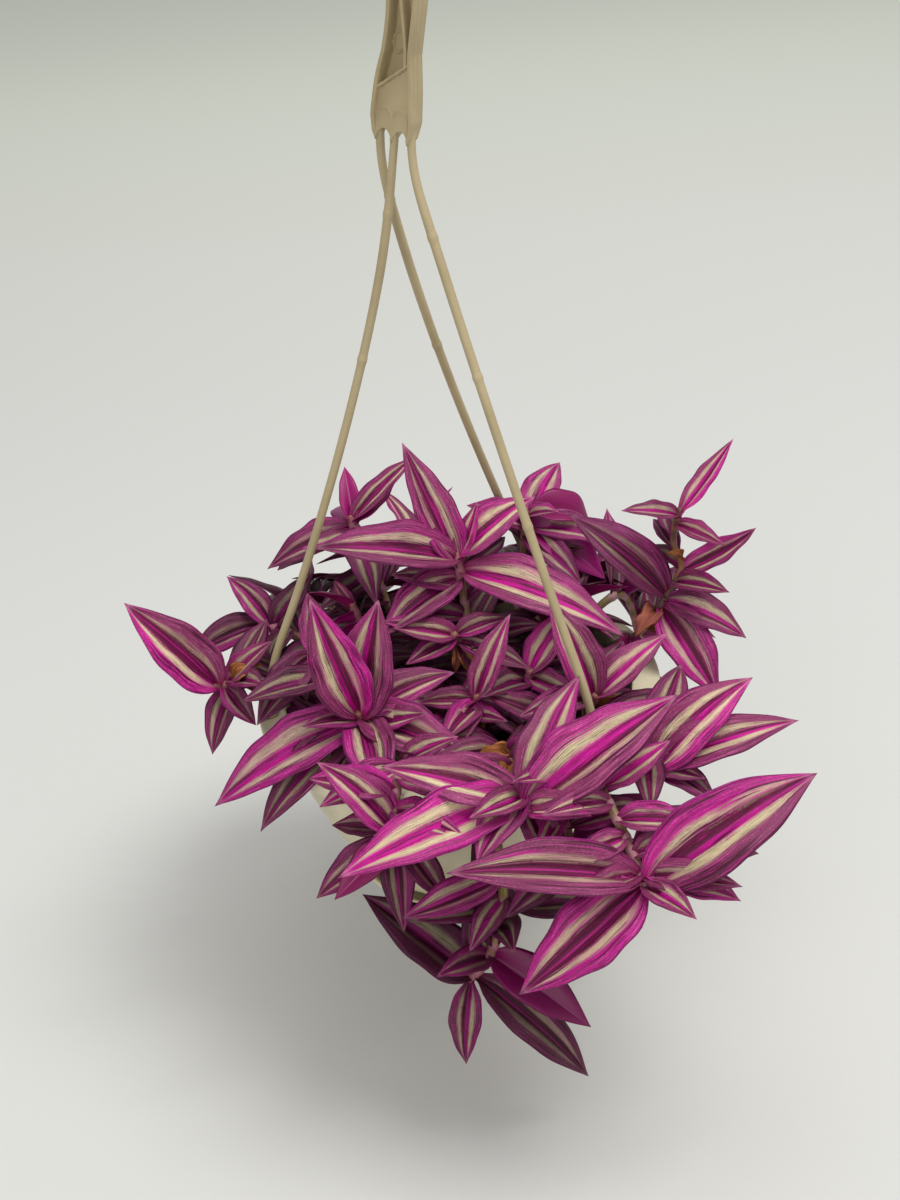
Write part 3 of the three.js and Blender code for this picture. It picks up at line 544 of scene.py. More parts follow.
class Shade:
    """Writes a material's node tree as short expressions of sockets and numbers."""

    def __init__(self, name, roughness, specular=0.5, **sockets):
        self.material = bpy.data.materials.new(name)
        self.material.use_nodes = True
        self.tree = self.material.node_tree
        self.tree.nodes.clear()
        self.shader = self.node("ShaderNodeBsdfPrincipled")
        output = self.node("ShaderNodeOutputMaterial")
        self.tree.links.new(self.shader.outputs[0], output.inputs["Surface"])
        self.shader.inputs["Roughness"].default_value = roughness
        self.shader.inputs["Specular IOR Level"].default_value = specular
        for key, value in sockets.items():
            self.shader.inputs[key.replace("_", " ").title()].default_value = value

    def node(self, kind, **settings):
        node = self.tree.nodes.new(kind)
        for key, value in settings.items():
            setattr(node, key, value)
        return node

    def plug(self, socket, value):
        """Links a socket to another, or sets its number, vector or colour."""
        if isinstance(value, bpy.types.NodeSocket):
            self.tree.links.new(value, socket)
        elif isinstance(value, (tuple, list)) and socket.type == "RGBA" and len(value) == 3:
            socket.default_value = (*value, 1)
        else:
            socket.default_value = value

    def math(self, operation, a, b=0.0, clamp=False):
        node = self.node("ShaderNodeMath", operation=operation, use_clamp=clamp)
        self.plug(node.inputs[0], a)
        self.plug(node.inputs[1], b)
        return node.outputs[0]

    def add(self, *values):
        return reduce(lambda a, b: self.math("ADD", a, b), values)

    def times(self, *values):
        return reduce(lambda a, b: self.math("MULTIPLY", a, b), values)

    def less(self, value):
        """1 less a value."""
        return self.math("SUBTRACT", 1.0, value)

    def around(self, value, reach):
        """A value of 0 to 1, such as noise, set about 0 and stretched by reach."""
        return self.times(self.add(value, -0.5), reach)

    def step(self, value, low, high):
        """0 below low, 1 above high, eased between."""
        node = self.node("ShaderNodeMapRange", interpolation_type="SMOOTHSTEP")
        self.plug(node.inputs["Value"], value)
        self.plug(node.inputs["From Min"], low)
        self.plug(node.inputs["From Max"], high)
        return node.outputs["Result"]

    def blend(self, factor, a, b, kind="MIX"):
        node = self.node("ShaderNodeMix", data_type="RGBA", blend_type=kind)
        self.plug(node.inputs[0], factor)
        self.plug(node.inputs[6], a)
        self.plug(node.inputs[7], b)
        return node.outputs[2]

    def paint(self, colour, mask, strength, tint):
        """A colour with a tint laid over it where the mask is, up to a strength."""
        return self.blend(self.times(mask, strength), colour, tint)

    def darken(self, colour, part):
        return self.blend(1.0, colour, self.vector(part, part, part), "MULTIPLY")

    def vector(self, x, y, z):
        node = self.node("ShaderNodeCombineXYZ")
        for socket, value in zip(node.inputs, (x, y, z)):
            self.plug(socket, value)
        return node.outputs[0]

    def place(self):
        return self.node("ShaderNodeTexCoord").outputs["Object"]

    def noise(self, vector, scale, detail=3.0, roughness=0.5):
        node = self.node("ShaderNodeTexNoise")
        self.plug(node.inputs["Vector"], vector)
        node.inputs["Scale"].default_value = scale
        node.inputs["Detail"].default_value = detail
        node.inputs["Roughness"].default_value = roughness
        return node.outputs["Fac"]

    def streaks(self, across, along, offset, detail=3.0, roughness=0.5):
        """Noise over a piece's own coordinates, each given with how finely it is divided."""
        x, y = (self.times(coordinate, rate) for coordinate, rate in (across, along))
        return self.noise(self.vector(x, y, offset), 1.0, detail, roughness)

    def cells(self, vector, scale):
        """How far a point lies from the nearest of some scattered ones."""
        node = self.node("ShaderNodeTexVoronoi")
        self.plug(node.inputs["Vector"], vector)
        node.inputs["Scale"].default_value = scale
        return node.outputs["Distance"]

    def surface(self):
        """The piece's own two coordinates."""
        node = self.node("ShaderNodeSeparateXYZ")
        self.plug(node.inputs[0], self.node("ShaderNodeUVMap", uv_map="surface").outputs[0])
        return node.outputs[0], node.outputs[1]

    def blade(self):
        """A point's place on a blade: -1 to 1 across it and 0 to 1 along it."""
        part, along = self.surface()
        return self.add(self.times(part, 2.0), -1.0), along

    def look(self):
        """The four numbers that a piece's points carry."""
        attribute = self.node("ShaderNodeAttribute", attribute_name="look")
        split = self.node("ShaderNodeSeparateColor")
        self.plug(split.inputs[0], attribute.outputs["Color"])
        return (*split.outputs[:3], attribute.outputs["Alpha"])

    def finish(self, colour, height=None, bump=0.3, distance=0.0002, roughness=None):
        self.plug(self.shader.inputs["Base Color"], colour)
        if roughness is not None:
            self.plug(self.shader.inputs["Roughness"], roughness)
        if height is not None:
            node = self.node("ShaderNodeBump")
            node.inputs["Strength"].default_value = bump
            node.inputs["Distance"].default_value = distance
            self.plug(node.inputs["Height"], height)
            self.plug(self.shader.inputs["Normal"], node.outputs[0])
        return self.material


STRIPE_PLACE = 0.37             # from the midrib, as a part of the way to the edge
STRIPE_WIDTH = (0.028, 0.122)   # at a blade's ends and in its middle


def leaf_face_material(colours):
    """The upper side: a brownish middle, two ragged pale stripes, greyish margins, magenta streaks.

    Everything runs lengthwise: the pattern is a function of how far a point lies between the
    midrib and the edge, shifted by noise that is stretched along the blade. The two halves of a
    blade have draws of their own.
    """
    s = Shade("leaf_face", roughness=0.42, specular=0.2)
    across, along = s.blade()
    first, second, young, painted_shade = s.look()
    out = s.math("ABSOLUTE", across)
    right = s.step(across, -0.01, 0.01)
    offset = s.add(s.times(first, 37.0), s.times(right, 11.0))
    streak = s.streaks((across, 15.0), (along, 1.5), offset, 4.0, 0.62)
    fine = s.streaks((across, 60.0), (along, 6.0), offset, 3.0, 0.65)
    patch = s.streaks((across, 2.2), (along, 2.6), offset, 2.0)
    grain = s.noise(s.place(), 1250.0, 3.0, 0.7)
    half_a = s.step(s.noise(s.vector(offset, s.times(second, 41.0), 3.0), 1.0, 0.0), 0.3, 0.7)
    half_b = s.step(s.noise(s.vector(offset, s.times(second, 67.0), 9.0), 1.0, 0.0), 0.3, 0.7)

    # The middle and the margins, with dark and bright streaks over both
    lines = s.add(s.around(streak, 1.8), s.around(fine, 1.7))
    middle = s.blend(s.step(s.add(half_a, lines), 0.45, 1.05), colours.shade, colours.bright)
    lines = s.add(half_b, s.add(lines, s.around(patch, 0.9)))
    margin = s.blend(s.step(lines, 0.5, 1.15), colours.mauve, colours.bright)
    flecks = s.step(s.add(fine, s.around(grain, 0.3), s.around(patch, 0.5)), 0.5, 0.74)
    margin = s.paint(margin, flecks, 0.5, colours.pink)
    colour = s.blend(s.step(s.add(out, s.around(streak, 0.22)), 0.24, 0.34), middle, margin)
    dusk = s.step(s.add(streak, s.around(fine, 0.5), s.around(patch, 0.7)), 0.54, 0.64)
    colour = s.paint(colour, dusk, 0.9, colours.dusk)
    glow = s.add(s.around(streak, -1.0), s.around(fine, 0.7), s.around(patch, 0.9))
    colour = s.paint(colour, s.step(glow, 0.1, 0.24), 0.6, colours.bright)

    # The two pale stripes, ragged and worn, with pink borders
    centre = s.add(STRIPE_PLACE, s.add(s.around(half_b, 0.08), s.around(patch, 0.16)))
    taper = s.times(s.step(along, 0.0, 0.3), s.less(s.step(along, 0.72, 1.02)))
    width = s.add(STRIPE_WIDTH[0], s.times(taper, STRIPE_WIDTH[1] - STRIPE_WIDTH[0]))
    width = s.times(width, s.add(0.65, s.times(half_a, 0.6)))
    ragged = s.add(s.around(fine, 0.6), s.around(grain, 0.14), s.around(streak, 0.42))
    distance = s.add(s.math("ABSOLUTE", s.math("SUBTRACT", out, centre)), ragged)
    stripe = s.less(s.step(distance, s.add(width, -0.03), s.add(width, 0.045)))
    border = s.step(distance, s.times(width, 0.1), s.add(width, 0.01))
    blush = s.step(s.add(first, s.add(s.around(patch, 1.2), s.around(streak, 1.0))), 0.35, 1.0)
    pinkness = s.math("MAXIMUM", s.times(border, 0.4), s.times(blush, 0.4))
    pale = s.blend(pinkness, colours.pale, colours.pink)
    pale = s.paint(pale, s.step(s.add(fine, s.around(grain, 0.4)), 0.5, 0.66), 0.5, colours.mauve)
    present = s.add(0.45, s.times(s.step(s.add(half_a, s.around(patch, 1.5)), -0.1, 0.5), 0.55))
    worn = s.step(s.add(fine, s.around(streak, 0.4), s.times(taper, 0.2)), 0.5, 0.78)
    strength = s.times(stripe, present, s.add(0.3, s.times(worn, 0.7)), s.less(s.times(young, 0.45)))
    colour = s.blend(strength, colour, pale)

    # The midrib, the tip, the foot, young leaves, and a painted highlight along the edge
    colour = s.paint(colour, s.less(s.step(out, 0.012, 0.05)), 0.55, colours.bright)
    colour = s.paint(colour, s.step(along, 0.9, 1.0), 0.45, colours.pink)
    colour = s.paint(colour, s.less(s.step(along, 0.0, 0.1)), 0.75, colours.young)
    colour = s.paint(colour, young, 0.55, colours.young)
    # Painted highlight: a lighter line along the edge, stronger on some halves than on others
    lit = s.add(0.2, s.times(half_b, 0.5))
    colour = s.paint(colour, s.step(out, 0.94, 0.99), lit, colours.edge)
    # Darker with the fine grain, with a random tone for each leaf, and with painted shade on leaves
    # that lie deep in the plant
    dark = s.add(0.62, s.add(s.times(grain, 1.0), s.around(fine, 3.0)))
    dark = s.times(dark, s.add(0.84, s.times(second, 0.34)), s.less(s.times(painted_shade, 0.72)))
    height = s.add(s.times(fine, 0.8), s.times(grain, 0.5))
    rough = s.add(0.32, s.times(grain, 0.22))
    return s.finish(s.darken(colour, dark), height, bump=0.5, distance=0.0003, roughness=rough)


def leaf_back_material(colours):
    """The underside: plain magenta to maroon, finely streaked along the blade."""
    s = Shade("leaf_back", roughness=0.42, specular=0.35)
    across, along = s.blade()
    first, second, young, painted_shade = s.look()
    fine = s.streaks((across, 40.0), (along, 3.0), s.times(first, 91.0), 3.0, 0.6)
    lit = s.step(s.add(fine, s.around(second, 0.8)), 0.3, 0.75)
    colour = s.paint(s.blend(lit, colours.under, colours.bright), young, 0.5, colours.young)
    rib = s.less(s.step(s.math("ABSOLUTE", across), 0.02, 0.08))
    # Painted shade: darker on leaves that lie deep in the plant
    colour = s.darken(s.paint(colour, rib, 0.4, colours.pink), s.less(s.times(painted_shade, 0.65)))
    return s.finish(colour, fine, bump=0.3, distance=0.0002)


def stem_material(colours):
    """Fleshy tan-green stem: pink at its joints, dark red streaks along it."""
    s = Shade("stem_skin", roughness=0.45, specular=0.35)
    turn, along = s.surface()
    joint, first, old, brown = s.look()
    offset = s.times(first, 53.0)
    streak = s.streaks((turn, 9.0), (along, 5.0), offset, 3.0, 0.6)
    patch = s.streaks((turn, 2.0), (along, 14.0), offset, 2.0)
    green = s.step(s.add(patch, s.around(old, 0.5)), 0.35, 0.65)
    colour = s.blend(green, colours.stem_tan, colours.stem_green)
    colour = s.paint(colour, s.step(streak, 0.5, 0.62), 0.65, colours.stem_streak)
    colour = s.paint(colour, joint, 0.7, colours.pink)
    colour = s.paint(colour, s.less(old), 0.5, colours.young)
    bark = s.blend(s.step(patch, 0.4, 0.62), srgb("4a3028"), srgb("8a6040"))
    return s.finish(s.paint(colour, brown, 0.85, bark), streak, bump=0.35, distance=0.0003)


def plastic_material(name, colour, darker, roughness, speck):
    """Moulded plastic: faint cloudiness, dust specks and a fine orange-peel surface."""
    s = Shade(name, roughness=roughness, specular=0.45)
    place = s.place()
    cloud = s.noise(place, 22.0, 4.0, 0.6)
    dots = s.add(s.cells(place, 260.0), s.times(s.noise(place, 90.0), 0.25))
    mixed = s.blend(s.step(cloud, 0.35, 0.75), colour, darker)
    mixed = s.paint(mixed, s.less(s.step(dots, 0.14, 0.24)), speck, srgb("4a3f2c"))
    peel = s.noise(place, 420.0, 2.0)
    rough = s.add(roughness - 0.08, s.times(cloud, 0.16))
    return s.finish(mixed, peel, bump=0.06, distance=0.0004, roughness=rough)


def soil_material(dark, fibre):
    """Potting soil: near black crumbs with a few brown fibres."""
    s = Shade("soil_crumb", roughness=0.95, specular=0.2)
    place = s.place()
    crumbs = s.noise(place, 420.0, 5.0, 0.7)
    fibres = s.noise(place, 130.0, 2.0)
    colour = s.blend(s.step(crumbs, 0.45, 0.8), dark, fibre)
    colour = s.paint(colour, s.step(fibres, 0.66, 0.72), 0.6, srgb("5a4026"))
    return s.finish(colour, crumbs, bump=0.8, distance=0.001)


def withered_material():
    """Dry leaf: orange brown, streaked along its length, some leaves tinted a darker purplish red."""
    s = Shade("dry_leaf", roughness=0.7, specular=0.25)
    across, along = s.surface()
    first, second, _, _ = s.look()
    streak = s.streaks((across, 22.0), (along, 3.0), s.times(first, 71.0), 4.0, 0.65)
    colour = s.blend(s.step(streak, 0.35, 0.7), srgb("5b2c10"), srgb("c07a44"))
    colour = s.paint(colour, s.step(second, 0.5, 1.0), 0.4, srgb("8e3d52"))
    return s.finish(colour, streak, bump=0.7, distance=0.0005)


# ---------------------------------------------------------------------------- settings

def colour_setting(name, code, description):
    return FloatVectorProperty(
        name=name, description=description, subtype="COLOR", size=3, min=0, max=1, default=srgb(code))


class LeafSettings(bpy.types.PropertyGroup):
    pale: colour_setting("Pale stripe", "c8c592", "The silvery green of the two stripes")
    pink: colour_setting("Pink stripe", "be7f9c", "The pink that the stripes turn to")
    shade: colour_setting("Dark middle", "5c1238", "The brownish purple beside the midrib")
    bright: colour_setting("Magenta", "b20a80", "The bright magenta of the midrib and margins")
    mauve: colour_setting("Mauve margin", "7a2d55", "The greyish purple outside the stripes")
    dusk: colour_setting("Dark streak", "3a0620", "The dark streaks that run along a blade")
    # The colour of the painted highlight along a blade's edge
    edge: colour_setting("Lit edge", "cc4fa6", "The lighter mauve near the edge")
    young: colour_setting("Young leaf", "7c0a3c", "The dark red of young leaves and leaf feet")
    under: colour_setting("Underside", "8a0656", "The maroon of the underside")
    stem_tan: colour_setting("Tan stem", "9a8259", "The tan of an old stem")
    stem_green: colour_setting("Green stem", "857a45", "The olive of an old stem")
    stem_streak: colour_setting("Stem streak", "7d4a4e", "The red brown streaks along a stem")
    wave: FloatProperty(
        name="Edge wave", default=0.011, min=0.0, max=0.05,
        description="Height of the waves along a blade's edges, as a part of its length")
    filler: IntProperty(
        name="Small shoots", description="How many small shoots grow between the main stems",
        default=24, min=0, max=80)


class PotSettings(bpy.types.PropertyGroup):
    plastic: colour_setting("Pot plastic", "cfc6a9", "The cream plastic of the pot and the saucer")
    shaded: colour_setting("Pot shade", "bdb292", "The darker clouds in that plastic")
    soil: colour_setting("Soil", "120c08", "The dark of the potting soil")
    fibre: colour_setting("Soil fibre", "33241a", "The brown of the soil's crumbs")


class HangerSettings(bpy.types.PropertyGroup):
    plastic: colour_setting("Hanger plastic", "b0a07c", "The beige plastic of the hanger")
    shaded: colour_setting("Hanger shade", "9c8c69", "The darker clouds in that plastic")


class StageSettings(bpy.types.PropertyGroup):
    floor: colour_setting("Floor", "cacac6", "The colour of the floor")
    # Lighter than the floor: partly the backdrop's own tone, partly painted light for the far backdrop
    distant: colour_setting("Distant floor", "e2e6d9", "The colour of the floor far behind")
    key: FloatProperty(
        name="Key light", description="Power of the large soft light", default=52.0, min=0.0,
        unit="POWER")
    fill: FloatProperty(
        name="Ambient light", description="Strength of the light from all round", default=0.5, min=0.0)
    lens: FloatProperty(
        name="Lens", description="Focal length of the camera", default=0.045, min=0.01, unit="LENGTH")


class Part(bpy.types.PropertyGroup):
    leaf: PointerProperty(type=LeafSettings)
    pot: PointerProperty(type=PotSettings)
    hanger: PointerProperty(type=HangerSettings)
    stage: PointerProperty(type=StageSettings)


def plain(group):
    """A settings group's values, with its colours as tuples."""
    values = {key: getattr(group, key) for key in type(group).__annotations__}
    return SimpleNamespace(**{
        key: tuple(value) if hasattr(value, "__len__") else value for key, value in values.items()})


# ---------------------------------------------------------------------------- pot, saucer, soil

def bowl_radius(depth):
    """Outside radius of the bowl at a depth: full under the rim, then ever more drawn in."""
    down = (np.asarray(depth, float) - RIM_DROP) / (BOWL_DEPTH - RIM_DROP)
    return WALL_TOP_RADIUS - (WALL_TOP_RADIUS - BOWL_FOOT_RADIUS) * down**1.7


def soil_top(x, y):
    """Height of the soil's top, domed a little to the middle."""
    edge = bowl_radius(SOIL_EDGE_DEPTH) - WALL
    return -SOIL_EDGE_DEPTH + SOIL_CROWN * (1 - (x * x + y * y) / edge**2)


def rounded(outline, steps=4):
    """A (radius, height, rounding) outline with each corner replaced by a short curve.

    The curve leaves the two sides at the rounding's distance from the corner and bends between
    them as a parabola. It takes at most 0.45 of the shorter side.
    """
    corners = np.array([c[:2] for c in outline], float)
    size = np.array([c[2] for c in outline], float)
    before, after = np.roll(corners, 1, 0), np.roll(corners, -1, 0)
    part = np.linspace(0, 1, steps)[None, :, None]
    reach = [np.minimum(size, 0.45 * np.linalg.norm(p - corners, axis=1))[:, None]
             for p in (before, after)]
    start = corners + unit(before - corners) * reach[0]
    end = corners + unit(after - corners) * reach[1]
    curve = ((1 - part)**2 * start[:, None] + 2 * part * (1 - part) * corners[:, None]
             + part**2 * end[:, None])
    return [p for k, row in enumerate(curve) for p in (row if size[k] > 0 else corners[k:k + 1])]


def turned(surface, outline, steps=ROUND_STEPS):
    """Turns an open outline, which starts and ends on the axis, into a closed body.

    A point is (radius cos a, radius sin a, height) with a going once round.
    """
    outline = np.array(outline)
    inner = outline[1:-1]
    angle = round_angles(steps)
    rings = np.stack([
        inner[:, :1] * np.cos(angle), inner[:, :1] * np.sin(angle),
        np.broadcast_to(inner[:, 1:], (len(inner), steps)),
    ], -1)
    ends = [[0, 0, outline[0, 1]], [0, 0, outline[-1, 1]]]
    surface.add_tube(rings, ends, np.zeros((len(inner), steps, 2)))


def pot_outline():
    """The pot's section, from the middle of its underside round the rim to the middle of its floor."""
    def bowl(inset, start, stop, steps):
        depths = np.linspace(start, stop, steps)
        return [[r, -d, 0] for r, d in zip(bowl_radius(depths) - inset, depths)]

    foot = [
        [0.01, -POT_DEPTH, 0], [FOOT_RADIUS, -POT_DEPTH, 0.8],
        [FOOT_RADIUS + FOOT_FLARE, -BOWL_DEPTH - WALL, 1.0],
        [BOWL_FOOT_RADIUS - FOOT_FLARE, -BOWL_DEPTH - WALL / 3, 0.8],
    ]
    rim = [
        [WALL_TOP_RADIUS, -RIM_THICK, 0.6], [RIM_RADIUS - LIP_THICK, -RIM_THICK, 0.6],
        [RIM_RADIUS - LIP_THICK - LIP_SLANT, -RIM_DROP, 0.5], [RIM_RADIUS - LIP_SLANT, -RIM_DROP, 0.5],
        [RIM_RADIUS, -0.7, 1.0], [RIM_RADIUS - 0.9, 0, 0.8], [WALL_TOP_RADIUS - WALL, 0, 1.0],
    ]
    floor = [
        [FOOT_RADIUS + FOOT_FLARE - WALL, -BOWL_DEPTH, 1.0],
        [FOOT_RADIUS - WALL, -POT_DEPTH + WALL, 1.0], [0.01, -POT_DEPTH + WALL, 0],
    ]
    return (foot + bowl(0, BOWL_DEPTH, RIM_DROP, 20) + rim
            + bowl(WALL, RIM_DROP, BOWL_DEPTH - WALL, 12) + floor)


def saucer_outline():
    """The saucer's section, from the middle of its underside round the brim to its floor."""
    floor = -POT_DEPTH - SEAT_GAP
    brim_foot = -SAUCER_RIM_DEPTH - SAUCER_BRIM_DROP
    return [
        [0.01, -SAUCER_DEPTH, 0], [SAUCER_FOOT_RADIUS, -SAUCER_DEPTH, 0.8],
        [SAUCER_RADIUS - 1.5 * SAUCER_BRIM, -SAUCER_DEPTH + SAUCER_CURL, 1.2],
        [SAUCER_RADIUS - SAUCER_BRIM / 2, brim_foot - 1, 0.8], [SAUCER_RADIUS, brim_foot, 0.6],
        [SAUCER_RADIUS, -SAUCER_RIM_DEPTH, 0.7],
        [SAUCER_RADIUS - SAUCER_BRIM / 2, -SAUCER_RIM_DEPTH, 0.7],
        [SAUCER_RADIUS - 2 * SAUCER_BRIM, floor + SAUCER_CURL, 1.0],
        [SAUCER_FLOOR_RADIUS, floor, 0.8], [0.01, floor, 0],
    ]


def cut_holes(piece, azimuths):
    """Cuts round holes through the pot's flat rim, one at each azimuth."""
    tool = Surface()
    for azimuth in azimuths:
        middle = np.array(polar(azimuth, CLIP_RADIUS))
        angle = round_angles(24)
        ring = middle + CLIP_HOLE_RADIUS * np.stack([np.cos(angle), np.sin(angle)], -1)
        heights = (-2 * RIM_THICK, RIM_THICK)
        rings = np.array([[[*point, height] for point in ring] for height in heights])
        tool.add_tube(rings, [[*middle, height] for height in heights], np.zeros((2, 24, 2)))
    cutter = tool.make("cutter", [], "pot")
    cut = piece.modifiers.new("holes", "BOOLEAN")
    cut.operation, cut.solver, cut.object = "DIFFERENCE", "EXACT", cutter
    bpy.context.view_layer.update()
    done = bpy.data.meshes.new_from_object(piece.evaluated_get(bpy.context.evaluated_depsgraph_get()))
    piece.modifiers.clear()
    piece.data = done
    bpy.data.objects.remove(cutter)


class HOUSEPLANT_OT_pot(bpy.types.Operator):
    """Adds the pot, turned from its section, with the holes in its rim"""
    bl_idname = "houseplant.pot"
    bl_label = "Pot"

    def execute(self, context):
        colours = plain(context.scene.houseplant.pot)
        material = plastic_material("pot_plastic", colours.plastic, colours.shaded, *POT_FINISH)
        surface = Surface()
        turned(surface, rounded(pot_outline()))
        piece = surface.make("pot_shell", [material], "pot")
        cut_holes(piece, [spec[0] for spec in STRANDS.values()] + list(SPARE_HOLE_AZIMUTHS))
        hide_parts("pot")
        return {"FINISHED"}


class HOUSEPLANT_OT_saucer(bpy.types.Operator):
    """Adds the drip saucer under the pot"""
    bl_idname = "houseplant.saucer"
    bl_label = "Saucer"

    def execute(self, context):
        surface = Surface()
        turned(surface, rounded(saucer_outline()))
        piece = surface.make("drip_saucer", [bpy.data.materials["pot_plastic"]], "pot")
        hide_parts("saucer")
        return {"FINISHED"}


def soil_bumps(x, y):
    """Height of the crumbs over the smooth soil: a few crossed waves of falling length."""
    total = 0.0
    for rate, phase, high in SOIL_WAVES:
        total = total + high * np.sin(rate * x * 2.1 + 1.7 * np.sin(rate * y + phase) + phase)
        total = total + high * np.sin(rate * y * 2.3 + 1.3 * np.sin(rate * x * 1.1 - phase) - phase)
    return total


class HOUSEPLANT_OT_soil(bpy.types.Operator):
    """Adds the potting soil: a crumbly top on a plain body, and loose crumbs on it"""
    bl_idname = "houseplant.soil"
    bl_label = "Soil"

    def execute(self, context):
        colours = plain(context.scene.houseplant.pot)
        material = soil_material(colours.soil, colours.fibre)
        surface = Surface()
        rings, steps = SOIL_GRID
        edge = bowl_radius(SOIL_EDGE_DEPTH) - WALL - 2 * SEAT_GAP
        angle = round_angles(steps)
        radius = edge * np.linspace(1, 0.01, rings)[:, None]
        x, y = radius * np.cos(angle), radius * np.sin(angle)
        calm = smooth_step(1.0, 0.96, radius / edge)
        top = np.stack([x, y, soil_top(x, y) + soil_bumps(x, y) * calm], -1)
        under = []
        for depth in (BOWL_DEPTH - WALL - SEAT_GAP, 50.0, 32.0):
            r = bowl_radius(depth) - WALL - 2 * SEAT_GAP
            under.append(np.stack([r * np.cos(angle), r * np.sin(angle), np.full(steps, -depth)], -1))
        body = np.concatenate([np.array(under), top])
        ends = [[0, 0, -BOWL_DEPTH + WALL + SEAT_GAP], [0, 0, soil_top(0, 0)]]
        surface.add_tube(body, ends, np.zeros((*body.shape[:2], 2)))
        self.crumbs(surface, edge)
        piece = surface.make("potting_soil", [material], "soil")
        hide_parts("soil")
        return {"FINISHED"}

    def crumbs(self, surface, edge):
        """Loose crumbs: small lumps of 12 points, each squeezed by its own draw."""
        draw = np.random.default_rng(CRUMB_SEED)
        lump = bmesh.new()
        bmesh.ops.create_icosphere(lump, subdivisions=1, radius=1.0)
        points = np.array([v.co for v in lump.verts])
        faces = np.array([[v.index for v in f.verts] for f in lump.faces])
        lump.free()
        for _ in range(CRUMBS):
            r, a = edge * math.sqrt(draw.uniform(0, 0.93)), draw.uniform(0, 2 * np.pi)
            x, y = r * math.cos(a), r * math.sin(a)
            size = draw.uniform(*CRUMB_SIZE) * draw.uniform(0.6, 1.2, 3)
            own = points * size * draw.uniform(0.8, 1.15, (len(points), 1))
            height = soil_top(x, y) + float(soil_bumps(x, y)) + 0.3
            surface.add(own + [x, y, height], [faces])


# ---------------------------------------------------------------------------- hanger

HUB_PLACE = (Matrix.Translation(HUB_FOOT) @ Matrix.Rotation(math.radians(HUB_LEAN), 4, "Y")
             @ Matrix.Rotation(math.radians(HUB_TURN), 4, "Z"))
HOOK_MIDDLE = HOOK_RADIUS + HOOK_BAR / 2
HOOK_CENTRE = HUB_HEIGHT + NECK + HOOK_MIDDLE


def on_hub(points):
    """Places points given as (across, out of the hub's face, up)."""
    turn = np.array(HUB_PLACE)
    local = np.asarray(points, float) * [1, -1, 1]
    return local @ turn[:3, :3].T + turn[:3, 3]


def hub_half_width(up):
    """Half of the hub's width at a height: a waist above the strands, then drawn in to the hook."""
    heights = [0, 8, 18, 30, 50, HUB_HEIGHT]
    widths = [HUB_WIDTH / 2 + d for d in (-0.5, 0.3, -0.4, -1.9, -1)] + [HOOK_BAR / 2 + 0.2]
    return np.interp(up, heights, widths)


def hub_across(part, up):
    """Place across the hub for a part of -1 to 1 of its width. The left side leans in above."""
    lean = FLANGE_LEAN * smooth_step(20, 44, up) * (1 - smooth_step(50, HUB_HEIGHT, up))
    return part * hub_half_width(up) + lean * np.clip(-part, 0, 1)


def hub_depth(part, up):
    """How far the hub's face stands out at a place: the greatest of its floors, flanges and ribs.

    Each wall is a ridge with eased flanks, and the floors are levels parted by the slanted rib.
    The flanges sink towards the foot, where each runs on as a strand.
    """
    soft = 0.3
    across = hub_across(part, up)
    inside = np.minimum(hub_across(1, up) - across, across - hub_across(-1, up))
    rib_line = RIB_HEIGHT + RIB_SLANT * across / (HUB_WIDTH / 2)
    floor = np.where(up < rib_line, RECESS_DEPTH, CHANNEL_DEPTH)
    rim_depth = HUB_DEPTH - 1.2 * (1 - smooth_step(0, 12, up))
    flange = rim_depth * (1 - smooth_step(HUB_SKIN - soft, HUB_SKIN + soft, inside))

    def ridge(distance, width, top):
        return top * (1 - smooth_step(width / 2 - soft, width / 2 + soft, np.abs(distance)))

    slanted = ridge(up - rib_line - HUB_SKIN / 2, HUB_SKIN, HUB_DEPTH - 0.5)
    lean = CENTRE_SHIFT * (1 - smooth_step(RIB_HEIGHT + 4, 54, up))
    middle = ridge(across - lean, HUB_SKIN, HUB_DEPTH - 0.5) * (up > rib_line)
    arches = 0.0
    for centre in (-STRAND_PITCH / 2, STRAND_PITCH / 2):
        reach = np.hypot(across - centre, np.maximum(up - ARCH_START, 0) * 0.8)
        arches = np.maximum(arches, ridge(reach - ARCH_RADIUS, ARCH_SKIN, RECESS_DEPTH + 0.55))
    reach = np.hypot(across - OVAL_PLACE[0], (up - OVAL_PLACE[1]) / OVAL_STRETCH)
    oval = ridge(reach - OVAL_RADIUS, OVAL_SKIN, CHANNEL_DEPTH + 0.8)
    return np.maximum.reduce([floor, flange, slanted, middle, arches, oval])


def hub_foot(part):
    """Height of the hub's lower edge: rounded notches between the three strands."""
    across = hub_across(part, 0.0)
    reach = STRAND_PITCH / 2
    notch = 3.0 * np.clip((np.abs(across) - STRAND_PITCH) / 1.2, 0, 1)
    for centre in (-STRAND_PITCH / 2, STRAND_PITCH / 2):
        inside = np.clip(1 - ((across - centre) / reach) ** 2, 0, 1)
        notch = np.maximum(notch, NOTCH_HEIGHT * inside**0.7)
    return notch


